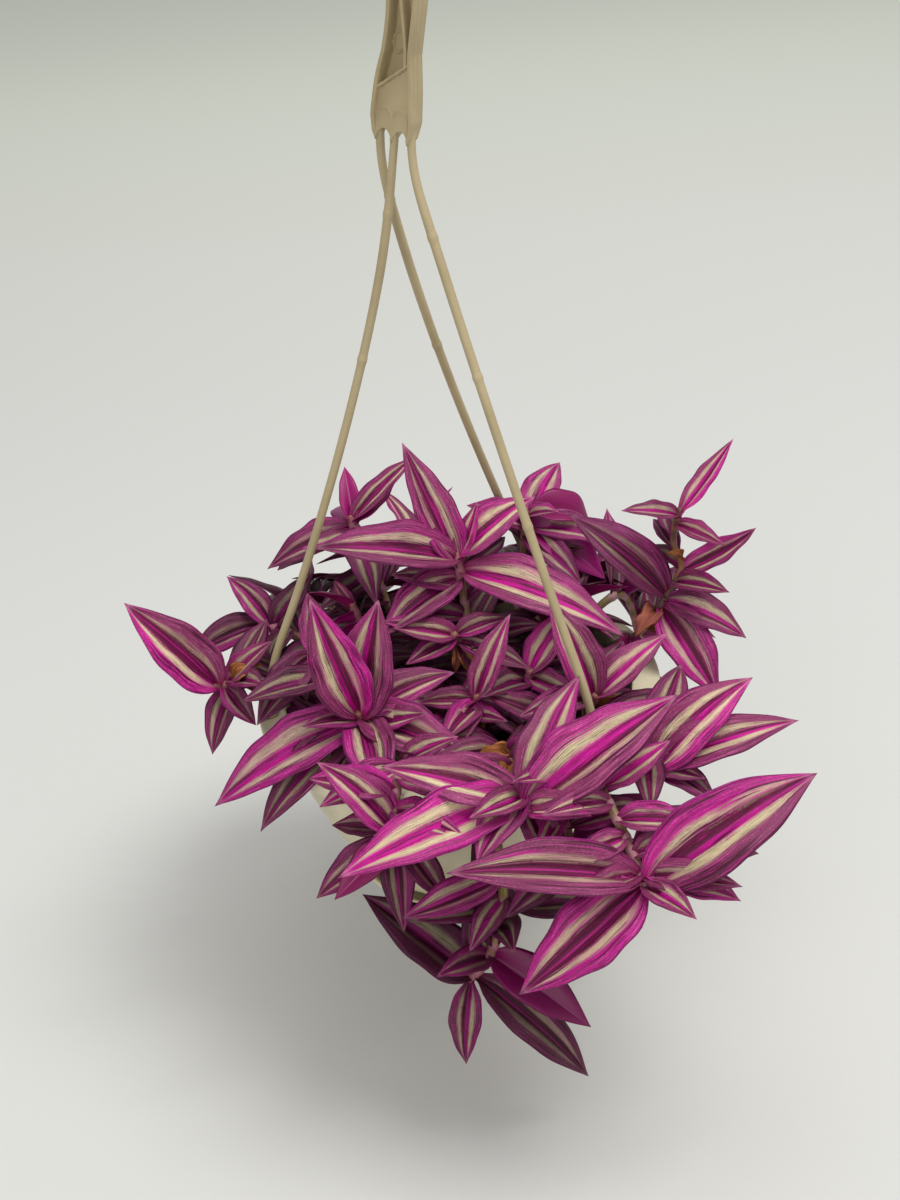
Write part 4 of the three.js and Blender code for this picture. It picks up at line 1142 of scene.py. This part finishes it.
def add_hub(surface, rows=230, columns=121, walls=15):
    """The hub: a face and a back with the same columns, two side walls, and a foot and a top strip.

    A column keeps its part of the width from foot to top. The side walls carry two long grooves
    each.
    """
    level = np.linspace(0, 1, rows)[:, None]
    part = np.linspace(-1, 1, columns)[None]
    part = np.sign(part) * np.abs(part) ** 0.85
    foot = hub_foot(part)
    up = foot + (HUB_HEIGHT - foot) * level
    across = hub_across(part, up)
    back_depth = 1.5 * (1 - smooth_step(0, 9, up))
    face = np.stack([across, hub_depth(part, up), up], -1)
    back = np.stack([across, back_depth, up], -1)
    wall_part = np.linspace(0, 1, walls + 2)[None, 1:-1, None]
    groove = GROOVE_DEPTH * sum(smooth_step(0.10, 0.05, np.abs(wall_part - place))
                                for place in GROOVE_PLACES)
    fade = (smooth_step(0.1, 0.16, level) * smooth_step(1.0, 0.94, level))[:, None]
    right = back[:, -1:] * (1 - wall_part) + face[:, -1:] * wall_part
    left = face[:, :1] * wall_part[:, ::-1] + back[:, :1] * (1 - wall_part[:, ::-1])
    right = right - groove * fade * [1, 0, 0]
    left = left + groove[:, ::-1] * fade * [1, 0, 0]
    loop = np.concatenate([back, right, face[:, ::-1], left], 1)
    around = loop.shape[1]
    number = np.arange(rows * around).reshape(rows, around)
    strips = []
    for row, flip in ((0, False), (rows - 1, True)):
        behind = number[row, :columns]
        front = number[row, columns + walls:2 * columns + walls][::-1]
        quads = np.stack([behind[:-1], front[:-1], front[1:], behind[1:]], -1)
        right_wall = number[row, columns:columns + walls][::-1]
        left_wall = number[row, 2 * columns + walls:][::-1]
        right_side = np.concatenate([[behind[-1]], [front[-1]], right_wall])
        left_side = np.concatenate([[front[0]], [behind[0]], left_wall])
        for faces in (quads, right_side[None], left_side[None]):
            strips.append(faces[:, ::-1] if flip else faces)
    surface.add(on_hub(loop), [grid_quads(number, closed=True), *strips])


def strand_route(azimuth, across, flare, ease=9.0):
    """The strand's middle, eased by averaging along it; its two ends stay where they are.

    It has gone out by the part of its spread that is down ** flare, when it has come down by the
    part down of its drop.
    """
    root = [on_hub([across * STRAND_PITCH, HUB_DEPTH / 2, up]) for up in (8, -3)]
    down = np.linspace(0, 1, STRAND_PARTS + 1)[1:, None]
    spread = np.array(polar(azimuth, CLIP_RADIUS - STRAND_LEAN, STRAND_TURN)) - root[1]
    route = root[1] + spread * np.concatenate([down**flare, down**flare, down], 1)
    clip = [polar(azimuth, CLIP_RADIUS, height) for height in (4, -4)]
    far, where = curve_through([*root, *route, *clip], ROUTE_STEPS)
    even = along_route((far, where), np.linspace(0, far[-1], ROUTE_STEPS))
    reach = int(3 * ease / far[-1] * ROUTE_STEPS)
    weight = np.exp(-0.5 * (np.arange(-reach, reach + 1) * far[-1] / ROUTE_STEPS / ease) ** 2)
    weight /= weight.sum()
    before = 2 * even[0] - even[reach:0:-1]
    after = 2 * even[-1] - even[-2:-reach - 2:-1]
    padded = np.concatenate([before, even, after])
    eased = np.stack([np.convolve(padded[:, k], weight, "valid") for k in range(3)], -1)
    return lengths_along(eased), eased


def add_strand(surface, azimuth, across, flare, nubs):
    """A round strand, flattened a little, with mould nubs, ending in a collar and a barb."""
    route = strand_route(azimuth, across, flare)
    length = route[0][-1]
    distance = np.linspace(0, length, 260)
    radius = STRAND_RADIUS - 0.22 * smooth_step(40, 12, distance)
    for nub in nubs:
        radius = radius + 0.3 * np.exp(-((distance - nub) / 1.1) ** 2)
    side = np.array(polar(azimuth + 90, 1, 0))
    rings, centre, uv = tube_rings(route, distance, radius, 16, side, flat=0.94)
    surface.add_tube(rings, centre[[0, -1]], uv)
    foot = -RIM_THICK - SEAT_GAP
    barb = [[0.01, foot - BARB_LENGTH, 0], [BARB_POINT_RADIUS, foot - BARB_LENGTH, 0.5],
            [BARB_RADIUS, foot, 0.5], [0.01, foot, 0]]
    collar = [[0.01, SEAT_GAP, 0], [COLLAR_RADIUS, SEAT_GAP, 0.4],
              [COLLAR_RADIUS, SEAT_GAP + COLLAR_LENGTH, 0.6], [0.01, SEAT_GAP + COLLAR_LENGTH, 0]]
    for outline in (barb, collar):
        part = Surface()
        turned(part, rounded(outline), steps=24)
        offset = np.array(polar(azimuth, CLIP_RADIUS, 0))
        surface.add(part.points[0] + offset, part.faces, part.uvs[0])


class HOUSEPLANT_OT_hanger(bpy.types.Operator):
    """Adds the moulded hanger: the hub with its ribs, the hook and the three strands"""
    bl_idname = "houseplant.hanger"
    bl_label = "Hanger"

    def execute(self, context):
        colours = plain(context.scene.houseplant.hanger)
        material = plastic_material(
            "hanger_plastic", colours.plastic, colours.shaded, *HANGER_FINISH)
        hub = Surface()
        add_hub(hub)
        self.hook(hub)
        hub_piece = hub.make("hanger_hub", [material], "hanger")
        strands = Surface()
        for spec in STRANDS.values():
            add_strand(strands, *spec)
        strand_piece = strands.make("hanger_strands", [material], "hanger")
        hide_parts("hanger")
        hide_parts("hanger")
        return {"FINISHED"}

    def hook(self, surface):
        """The hook: a straight neck, then a ring of the same bar with a rounded end."""
        neck = [[0, HUB_DEPTH / 2, up] for up in (HUB_HEIGHT - 8, HUB_HEIGHT - 3, HUB_HEIGHT + 2)]
        angles = np.radians(270 - np.linspace(0, HOOK_SWEEP, 16))
        ring = [[HOOK_MIDDLE * math.cos(a), HUB_DEPTH / 2, HOOK_CENTRE + HOOK_MIDDLE * math.sin(a)]
                for a in angles]
        route = curve_through([on_hub(p) for p in neck + ring], 600)
        length = route[0][-1]
        rounding = HOOK_ROUND * np.sin(np.linspace(0.12, 1.5, 8))
        distance = np.concatenate([np.linspace(0, length - HOOK_ROUND, 150),
                                   length - HOOK_ROUND + rounding])
        end = np.clip((distance - length + HOOK_ROUND) / HOOK_ROUND, 0, 1)
        radius = (HOOK_BAR / 2 - 0.18) * np.sqrt(1 - 0.98 * end**2)
        face = on_hub([0, 1, 0]) - on_hub([0, 0, 0])
        rings, centre, uv = tube_rings(route, distance, radius, 20, face)
        surface.add_tube(rings, centre[[0, -1]], uv)


# ---------------------------------------------------------------------------- leaves and stems

def make_draw(seed):
    """A repeatable draw between two limits, by the multiplicative rule 16807 n mod (2^31 - 1)."""
    state = [seed]

    def draw(low, high):
        state[0] = state[0] * 16807 % 2147483647
        return low + (high - low) * state[0] / 2147483647
    return draw


def drawn_leaves(azimuth, size, draw):
    """The leaves of a drawn stem, set alternately to its two sides and round its tip."""
    leaves = []
    for back, aside, rise, part in DRAWN_PATTERN:
        length = size * part * draw(0.88, 1.12)
        heading = azimuth + aside + draw(-14, 14)
        climb = rise + draw(-10, 10)
        leaves.append([back, heading, climb, length, length * draw(0.37, 0.43)])
    return leaves


def from_view(leaf):
    """A leaf with its heading and rise, from one that is listed as it is seen.

    Its line has a part across the view, a part up it and a part out of it, and the view is tilted
    back to the plant's own axes.
    """
    back, turn, lean, *size = leaf
    tilt, turn, lean = (math.radians(angle) for angle in (VIEW_TILT, turn, lean))
    across, up, out = math.cos(lean) * math.cos(turn), math.cos(lean) * math.sin(turn), math.sin(lean)
    away = up * math.sin(tilt) - out * math.cos(tilt)
    high = up * math.cos(tilt) + out * math.sin(tilt)
    return [back, math.degrees(math.atan2(away, across)), math.degrees(math.asin(high)), *size]


def grow_plants():
    """All the stems with their leaves, as name -> list of (path, leaves), and the drawn stems' lights.

    A drawn stem's draws come in the same order as in the solids, and its number is its seed.
    """
    plants = {name: [(path, [from_view(leaf) for leaf in seen] + leaves)
                     for path, seen, leaves in stems]
              for name, stems in LISTED_STEMS.items()}
    lights = {}
    for i, (azimuth, height) in enumerate(OUTER_STEMS):
        draw = make_draw(i + 1)
        path = [polar(azimuth, *bend) for bend in OUTER_BENDS]
        path.append(polar(azimuth, OUTER_TIP + draw(-TIP_STRAY, TIP_STRAY), height))
        name = f"stem_outer_{i + 1}"
        plants[name] = [(path, drawn_leaves(azimuth, OUTER_LEAF, draw))]
        lights[name] = azimuth
    for i, (azimuth, radius, height, size) in enumerate(INNER_STEMS):
        draw = make_draw(i + 1)
        path = [polar(azimuth, radius - 8), polar(azimuth, radius - 5, height / 3),
                polar(azimuth, radius, height)]
        name = f"stem_inner_{i + 1}"
        plants[name] = [(path, drawn_leaves(azimuth, size, draw))]
        lights[name] = azimuth
    return plants, lights


def stem_route(stem, first_stem=None):
    """The route of a stem, rooted upright in the soil or forked off its plant's first stem."""
    start, *rest = stem[0]
    if len(start) == 1:
        trunk = stem_route(first_stem)
        fork = along_route(trunk, trunk[0][-1] - start[0])
        return curve_through([fork, *rest])
    x, y = start
    ground = soil_top(x, y)
    return curve_through([[x, y, ground - ROOT_DEPTH], [x, y, ground - ROOT_DEPTH / 2],
                          [x, y, ground + 1], *rest])


PLANTS, LIGHTS = grow_plants()


def side_leaves(route, draw):
    """Side leaves of a stem, set alternately to its left and right behind its tip.

    Each points SIDE_SPREAD away from the way the stem runs there. One that would end inside the
    rim and low is lifted, so that it lies over the rim and not through it.
    """
    length = route[0][-1]
    leaves = []
    for k, back in enumerate(np.arange(SIDE_START, min(SIDE_REACH, length - ROOT_DEPTH - 4), SIDE_GAP)):
        base, ahead = along_route(route, np.array([length - back - LEAF_SINK, length - back]))
        run = math.degrees(math.atan2(*(ahead - base)[1::-1]))
        heading = run + (SIDE_SPREAD if k % 2 else -SIDE_SPREAD) + draw.uniform(-SIDE_STRAY, SIDE_STRAY)
        size = draw.uniform(*SIDE_LENGTH)
        rise = draw.uniform(*SIDE_RISE)
        reach, climb = (size * part(math.radians(rise)) for part in (math.cos, math.sin))
        end = base + [*polar(heading, reach), climb]
        if np.hypot(*end[:2]) < RIM_RADIUS + RIM_MARGIN and end[2] < OVER_RIM:
            rise = math.degrees(math.asin(np.clip((OVER_RIM - base[2]) / size, -0.2, 0.9)))
        leaves.append([back, heading, rise, size, size * draw.uniform(*SIDE_WIDTH)])
    return leaves


def outline_at(part):
    """The blade's outline, 1 at its widest: round at its foot, drawn to a point."""
    return (part / WIDEST_AT) ** 0.65 * ((1 - part) / (1 - WIDEST_AT)) ** 1.1


def leaf_chord(leaf):
    """The direction from a blade's foot to its tip, from its heading and rise."""
    climb = math.radians(leaf[2])
    return np.array([*polar(leaf[1], math.cos(climb)), math.sin(climb)])


def blade_faces(rows, columns, flip):
    """The faces of a blade's skin: its upper side, foot and tip, and then the same for its lower side.

    The points are numbered row by row, first the upper side's, then the lower side's without the
    edges, which the two share, and last the heel and the tip.
    """
    count = rows * (columns + 1)
    upper = np.arange(count).reshape(rows, columns + 1)
    lower = upper.copy()
    lower[:, 1:-1] = count + np.arange(rows * (columns - 1)).reshape(rows, columns - 1)
    heel = count + rows * (columns - 1)

    def fan(line, centre, flip):
        faces = np.stack([np.full(len(line) - 1, centre), line[:-1], line[1:]], -1)
        return faces[:, ::-1] if flip else faces

    faces = []
    for grid, over in ((upper, flip), (lower, not flip)):
        faces += [grid_quads(grid, flip=not over), fan(grid[0], heel, over),
                  fan(grid[-1], heel + 1, not over)]
    return faces


def add_blade(surface, base, light, leaf, draw, wave, young=0.0, painted_shade=0.0, mesh=LISTED_MESH,
              slots=(0, 1)):
    """One leaf blade, a closed skin of two faces that meet along its edges.

    The midrib arches over its chord as a parabola. A section is a V with a soft keel and convex
    halves, which opens from foot to tip, and its edges carry waves. The underside lies a skin's
    thickness below, more under the midrib. The foot wraps the stem.
    """
    rows, columns = mesh
    _, _, _, length, width, *rest = leaf
    bend = math.radians(rest[0] if rest else DEFAULT_BEND)
    roll = math.radians(rest[1] if len(rest) > 1 else 0)
    chord = leaf_chord(leaf)
    facing = np.array([*polar(light, FACE_TILT), 1.0])
    facing = (facing * math.cos(roll) + np.cross(chord, facing) * math.sin(roll)
              + chord * (chord @ facing) * (1 - math.cos(roll)))
    side = unit(np.cross(facing, chord))
    up = np.cross(chord, side)
    arching = 2 * math.tan(bend / 4)

    t = np.linspace(0, 1, rows + 1)[:-1, None]
    t = t + 0.03 * np.sin(2 * np.pi * t)
    u = np.linspace(-1, 1, columns + 1)[None]
    u = np.sign(u) * np.abs(u) ** 1.15
    sway = length * draw.uniform(-SWAY, SWAY)
    curl = length * draw.uniform(-CURL, CURL)
    middle = (base + length * t * chord + length * arching * t * (1 - t) * up
              + sway * np.sin(np.pi * t) * side + curl * t**4 * (up + side))
    along = unit(chord + arching * (1 - 2 * t) * up + sway / length * np.pi * np.cos(np.pi * t) * side
                 + 4 * curl / length * t**3 * (up + side))
    normal = unit(np.cross(along, side))
    foot = np.exp(-(t * length / FOOT_LENGTH) ** 2)
    uneven = np.sin(2 * np.pi * (draw.uniform(2, 4) * t + draw.random()))
    uneven = 1 + EDGE_STRAY * uneven * np.sin(np.pi * t)
    half = np.hypot(width / 2 * outline_at(np.clip(t, 0, 1)) * uneven, CLASP * foot)
    fold = np.radians(FOLD_AT_BASE + (FOLD_AT_TIP - FOLD_AT_BASE) * t + FOOT_FOLD * foot)
    keel = (np.sqrt(u**2 + KEEL**2) - KEEL) / (math.sqrt(1 + KEEL**2) - KEEL)
    phase = draw.uniform(0, 2 * np.pi, 2)
    rate = draw.uniform(1.6, 3.2, 2)
    size = length * wave * draw.uniform(0.6, 1.5)
    waves = np.where(u < 0, np.sin(2 * np.pi * rate[0] * t + phase[0]),
                     np.sin(2 * np.pi * rate[1] * t + phase[1]))
    waves = size * waves * np.sin(np.pi * np.clip(t, 0, 1)) ** 0.7 * np.abs(u) ** 2.5
    lift = half * np.sin(fold) * keel + BULGE * half * np.sin(np.pi * np.abs(u)) + waves
    top = (middle[:, None] + (half * np.cos(fold) * u)[..., None] * side
           + lift[..., None] * normal[:, None])
    slope = np.cross(np.gradient(top, axis=1), np.gradient(top, axis=0))
    slope = unit(slope + 1e-9)
    slope = slope * np.sign((slope * normal[:, None]).sum(-1, keepdims=True))
    thick = BLADE_SKIN * np.sqrt(np.clip(1 - u**2, 0, 1)) + MIDRIB * np.exp(-((half * u / 1.1) ** 2))
    thick = thick * (0.35 + 0.65 * (1 - t))
    under = top - thick[..., None] * slope

    tip = base + length * chord + curl * (up + side)
    heel = middle[0] - 0.3 * along[0]
    # Two random draws for the pattern, how young the leaf is, and how much painted shade it gets
    look = (draw.random(), draw.random(), young, painted_shade)
    points = np.concatenate([top.reshape(-1, 3), under[:, 1:-1].reshape(-1, 3), [heel, tip]])
    uv_top = np.stack(np.broadcast_arrays(0.5 + 0.5 * u, t), -1)
    uv = np.concatenate([uv_top.reshape(-1, 2), uv_top[:, 1:-1].reshape(-1, 2), [[0.5, 0], [0.5, 1]]])
    points = held_inside(points, uv[:, 1])
    flip = bool(np.cross(top[1, 1] - top[0, 1], top[0, 2] - top[0, 1]) @ normal[0] < 0)
    surface.add(points, blade_faces(rows, columns, flip), uv, look, np.repeat(slots, 3))


def add_stem(surface, route, joints, draw, slot=2, brown=0.0, thin=1.0):
    """A stem: a tapering tube that swells at its joints, with a loose sheath below each."""
    length = route[0][-1]
    distance = np.linspace(0, length, max(12, int(length / 1.2)))
    radius = STEM_RADIUS * (1.0 - STEM_TAPER * distance / length)
    joint = np.zeros_like(distance)
    for place in joints:
        joint = np.maximum(joint, np.exp(-((distance - place) / 1.6) ** 2))
        foot = place - SHEATH_LENGTH
        sheath = smooth_step(foot - 0.5, foot + 0.5, distance)
        sheath = sheath * smooth_step(place + 0.6, place, distance)
        radius = radius + SHEATH_SWELL * sheath * (0.5 + 0.5 * smooth_step(foot, place, distance))
    radius = thin * (radius + JOINT_SWELL * joint)
    direction = route[1][-1] - route[1][0]
    upright = np.hypot(*direction[:2]) <= 1
    side = np.array([1.0, 0, 0] if upright else [-direction[1], direction[0], 0])
    rings, centre, uv = tube_rings(route, distance, radius, 10, unit(side))
    old = smooth_step(length, length - 45, distance)
    look = np.stack(np.broadcast_arrays(
        joint[:, None], draw.random(), old[:, None], np.full((1, 10), brown)), -1)
    surface.add_tube(rings, centre[[0, -1]], uv, look, slot)


def leaf_base(route, leaf):
    """The point on its stem's middle that a leaf grows from."""
    return along_route(route, route[0][-1] - leaf[0] - LEAF_SINK)


def leaf_middle(base, leaf):
    """About the middle of a blade: a little under halfway along its chord."""
    return base + 0.45 * leaf[3] * leaf_chord(leaf)


def leaf_middles():
    """The middles of all the main leaves, as an (n, 3) array."""
    middles = []
    for stems in PLANTS.values():
        for stem in stems:
            route = stem_route(stem, stems[0])
            for leaf in stem[1]:
                middles.append(leaf_middle(leaf_base(route, leaf), leaf))
    return np.array(middles)


def overhung(point, middles):
    """How deep a place lies in the plant, 0 to 1, from the leaves that stand between it and the sky:
    how much painted shade a leaf there gets.
    """
    gap = middles - point
    ahead = gap @ SKYWARD
    aside = np.linalg.norm(gap - ahead[:, None] * SKYWARD, axis=1)
    weight = smooth_step(4, 16, ahead) * np.exp(-((aside / SHADE_REACH) ** 2))
    return 1 - math.exp(-weight.sum() / 1.1)


def leafy_stem(surface, stem, first_stem, light, draw, wave, middles, youth=0.0, painted_shade=0.0, turned=(),
               brown=0.0, thin=1.0, fine=True):
    """A stem with its leaves. Small leaves are younger, and leaves deep in the plant get painted shade.

    A fine stem has side leaves too. Those, and all the leaves of one that isn't fine, have fewer
    rows and columns.
    """
    route = stem_route(stem, first_stem)
    main = len(stem[1]) if fine else 0
    leaves = stem[1] + (side_leaves(route, draw) if fine else [])
    joints = [route[0][-1] - leaf[0] - LEAF_SINK for leaf in leaves]
    add_stem(surface, route, joints, draw, brown=brown, thin=thin)
    youngest, grown = YOUNG_LENGTH
    for k, leaf in enumerate(leaves):
        small = float(np.clip((grown - leaf[3]) / (grown - youngest), 0, 1))
        base = leaf_base(route, leaf)
        deep = overhung(leaf_middle(base, leaf), middles)
        add_blade(surface, base, light, leaf, draw, wave, young=max(youth, 0.8 * small * draw.random()),
                  painted_shade=max(painted_shade, deep), slots=(1, 0) if k in turned else (0, 1),
                  mesh=LISTED_MESH if k < main else SIDE_MESH)


def leaf_materials(context):
    """The upper face, the underside and the stem, made once."""
    names = ("leaf_face", "leaf_back", "stem_skin")
    if names[0] not in bpy.data.materials:
        colours = plain(context.scene.houseplant.leaf)
        for make in (leaf_face_material, leaf_back_material, stem_material):
            make(colours)
    return [bpy.data.materials[name] for name in names]


class HOUSEPLANT_OT_stems(bpy.types.Operator):
    """Adds the leafy stems, one piece for each stem or pair of stems"""
    bl_idname = "houseplant.stems"
    bl_label = "Leafy stems"

    def execute(self, context):
        materials = leaf_materials(context)
        wave = context.scene.houseplant.leaf.wave
        middles = leaf_middles()
        for number, (name, stems) in enumerate(PLANTS.items()):
            surface = Surface()
            draw = np.random.default_rng(STEM_SEED + number)
            light = LIGHTS.get(name, LIGHT_AZIMUTH)
            for i, stem in enumerate(stems):
                leafy_stem(surface, stem, stems[0], light, draw, wave, middles,
                           turned=TURNED_LEAVES.get((name, i), ()),
                           brown=BROWN_STEMS.get(name, 0.0), thin=THIN_STEMS.get(name, 1.0))
            piece = surface.make(name.replace("stem", "leafy"), materials, "leaf")
            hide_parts(name)
        return {"FINISHED"}


class HOUSEPLANT_OT_filler(bpy.types.Operator):
    """Adds small shoots between the main stems, which close the plant over its soil"""
    bl_idname = "houseplant.filler"
    bl_label = "Small shoots"

    def execute(self, context):
        settings = context.scene.houseplant.leaf
        materials = leaf_materials(context)
        draw = np.random.default_rng(SHOOT_SEED)
        surface = Surface()
        middles = leaf_middles()
        golden = math.pi * (3 - math.sqrt(5))
        for i in range(settings.filler):
            x, y = polar(math.degrees(i * golden), SHOOT_REACH * math.sqrt((i + 0.5) / settings.filler))
            height = soil_top(x, y) + draw.uniform(*SHOOT_HEIGHT) + SHOOT_BACK * smooth_step(-10, 60, y)
            lean = polar(draw.uniform(0, 360), draw.uniform(*SHOOT_LEAN))
            path = [[x, y], [x + lean[0] / 2, y + lean[1] / 2, height - 8],
                    [x + lean[0], y + lean[1], height]]
            turn = draw.uniform(0, 360)
            leaves = [[SHOOT_GAP * k, turn + SHOOT_TURN * k, draw.uniform(*SHOOT_RISE),
                       draw.uniform(*SHOOT_LENGTH), 0, SHOOT_BEND] for k in range(SHOOT_LEAVES)]
            for leaf in leaves:
                leaf[4] = leaf[3] * draw.uniform(*SHOOT_WIDTH)
            # Each small shoot grows low among the stems and gets painted shade of a random strength
            leafy_stem(surface, (path, leaves), None, LIGHT_AZIMUTH, draw, settings.wave, middles,
                       youth=draw.uniform(0, 0.5), painted_shade=draw.uniform(0.3, 0.8), fine=False)
        surface.make("small_shoots", materials, "leaf")
        return {"FINISHED"}


class HOUSEPLANT_OT_dry_leaves(bpy.types.Operator):
    """Adds the few dry, crumpled leaves that still hang on the stems"""
    bl_idname = "houseplant.dry_leaves"
    bl_label = "Dry leaves"

    def execute(self, context):
        surface = Surface()
        draw = np.random.default_rng(DRY_SEED)
        for (name, i), leaves in DRY_LEAVES.items():
            stems = PLANTS[name]
            route = stem_route(stems[i], stems[0])
            for leaf in leaves:
                add_blade(surface, leaf_base(route, leaf), LIGHT_AZIMUTH, leaf, draw, DRY_WAVE,
                          slots=(0, 0))
        surface.make("dry_leaves", [withered_material()], "leaf")
        return {"FINISHED"}


# ---------------------------------------------------------------------------- stage and camera

CAMERA_TILT = 28.9       # degrees that the camera looks down
CAMERA_ROLL = 5.65
CAMERA_DISTANCE = 635.6  # from the rim's centre, along the line of sight
CAMERA_RISE = 35.85      # how far that line passes above the rim's centre
FLOOR_DROP = 0.03        # metres from the lowest leaf to the floor
# Each lamp: its place from the rim's centre and its size, in metres, and its part of the key's power.
LAMPS = (
    ("key", (1.1, -0.4, 2.5), 1.5, 1.0),
    ("front", (-0.9, -2.3, 1.3), 1.8, 0.42),
    ("top", (-0.2, 0.2, 2.6), 1.6, 0.24),
)
FLOOR_REACH = 8.0           # from the middle to an edge of the floor
FADE = (0.4, 2.6)           # how far behind the pot its tone starts and ends to change


class HOUSEPLANT_OT_stage(bpy.types.Operator):
    """Adds the pale floor, the soft lights and the camera"""
    bl_idname = "houseplant.stage"
    bl_label = "Stage"

    def execute(self, context):
        settings = plain(context.scene.houseplant.stage)
        self.floor(settings)
        self.lights(context, settings)
        self.camera(context, settings)
        return {"FINISHED"}

    def floor(self, settings):
        """A wide flat sheet, open on all sides, whose tone changes far behind the pot: lighter and
        greener there, partly the backdrop's own tone and partly painted light.
        """
        low = CAD_BOX[0][2] - FLOOR_DROP
        mesh = bpy.data.meshes.new("floor")
        signs = ((-1, -1), (1, -1), (1, 1), (-1, 1))
        corners = [(x * FLOOR_REACH, y * FLOOR_REACH, low) for x, y in signs]
        mesh.from_pydata(corners, [], [(0, 1, 2, 3)])
        s = Shade("floor_paper", roughness=0.8, specular=0.2)
        split = s.node("ShaderNodeSeparateXYZ")
        s.plug(split.inputs[0], s.place())
        # Lighter and greener far behind: partly the backdrop's own tone, partly painted light that
        # makes up for the lamps' light falling off with distance
        far = s.step(split.outputs[1], *FADE)
        mesh.materials.append(s.finish(s.blend(far, settings.floor, settings.distant)))
        floor = bpy.data.objects.new("floor", mesh)
        bpy.context.scene.collection.objects.link(floor)

    def lights(self, context, settings):
        """A soft key high on the right, weaker ones from the front and the top, and ambient light."""
        for name, place, size, share in LAMPS:
            place = np.array(place)
            light = bpy.data.lights.new(name, "AREA")
            light.shape, light.size, light.energy = "DISK", size, settings.key * share
            lamp = bpy.data.objects.new(name, light)
            lamp.location = RIM_CENTRE + place
            away = unit(place)
            right = unit(np.cross([0, 0, 1], away))
            aim = Matrix((right, np.cross(away, right), away)).transposed()
            lamp.rotation_euler = aim.to_euler()
            context.scene.collection.objects.link(lamp)
        world = bpy.data.worlds.new("soft_room")
        world.use_nodes = True
        ambient = world.node_tree.nodes["Background"].inputs
        ambient["Color"].default_value = (1, 1, 1, 1)
        ambient["Strength"].default_value = settings.fill
        context.scene.world = world

    def camera(self, context, settings):
        """The camera looks down at the rim, a little rolled, from in front of the plant."""
        tilt, roll = math.radians(CAMERA_TILT), math.radians(CAMERA_ROLL)
        back = np.array([0, -math.cos(tilt), math.sin(tilt)])
        up = np.array([0, math.sin(tilt), math.cos(tilt)])
        right = np.array([1.0, 0, 0])
        place = RIM_CENTRE + (CAMERA_DISTANCE * back + CAMERA_RISE * up) * MM
        rolled_right = math.cos(roll) * right - math.sin(roll) * up
        rolled_up = math.sin(roll) * right + math.cos(roll) * up
        data = bpy.data.cameras.new("camera")
        data.lens = settings.lens / MM
        data.clip_end = 50
        camera = bpy.data.objects.new("camera", data)
        turn = Matrix((rolled_right, rolled_up, back)).transposed().to_4x4()
        camera.matrix_world = Matrix.Translation(place) @ turn
        context.scene.collection.objects.link(camera)
        context.scene.camera = camera
        context.scene.view_settings.view_transform = "Standard"


# ---------------------------------------------------------------------------- panel and main

OPERATORS = (
    HOUSEPLANT_OT_stage, HOUSEPLANT_OT_pot, HOUSEPLANT_OT_saucer, HOUSEPLANT_OT_soil,
    HOUSEPLANT_OT_hanger, HOUSEPLANT_OT_stems, HOUSEPLANT_OT_filler, HOUSEPLANT_OT_dry_leaves,
)


class HOUSEPLANT_PT_panel(bpy.types.Panel):
    """Lists the settings and the pieces"""
    bl_idname = "HOUSEPLANT_PT_panel"
    bl_label = "Hanging Tradescantia"
    bl_space_type = "VIEW_3D"
    bl_region_type = "UI"
    bl_category = "Houseplant"

    def draw(self, context):
        settings = context.scene.houseplant
        for name in ("leaf", "pot", "hanger", "stage"):
            group = getattr(settings, name)
            box = self.layout.box()
            for key in type(group).__annotations__:
                box.prop(group, key)
        for operator in OPERATORS:
            self.layout.operator(operator.bl_idname)


CLASSES = (
    LeafSettings, PotSettings, HangerSettings, StageSettings, Part, *OPERATORS, HOUSEPLANT_PT_panel)


def register():
    for cls in CLASSES:
        bpy.utils.register_class(cls)
    bpy.types.Scene.houseplant = PointerProperty(type=Part)


def unregister():
    del bpy.types.Scene.houseplant
    for cls in reversed(CLASSES):
        bpy.utils.unregister_class(cls)


def main():
    register()
    bpy.ops.houseplant.stage()
    bpy.ops.houseplant.pot()
    bpy.ops.houseplant.saucer()
    bpy.ops.houseplant.soil()
    bpy.ops.houseplant.hanger()
    bpy.ops.houseplant.stems()
    bpy.ops.houseplant.filler()
    bpy.ops.houseplant.dry_leaves()
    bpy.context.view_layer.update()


if __name__ == "__main__":
    main()
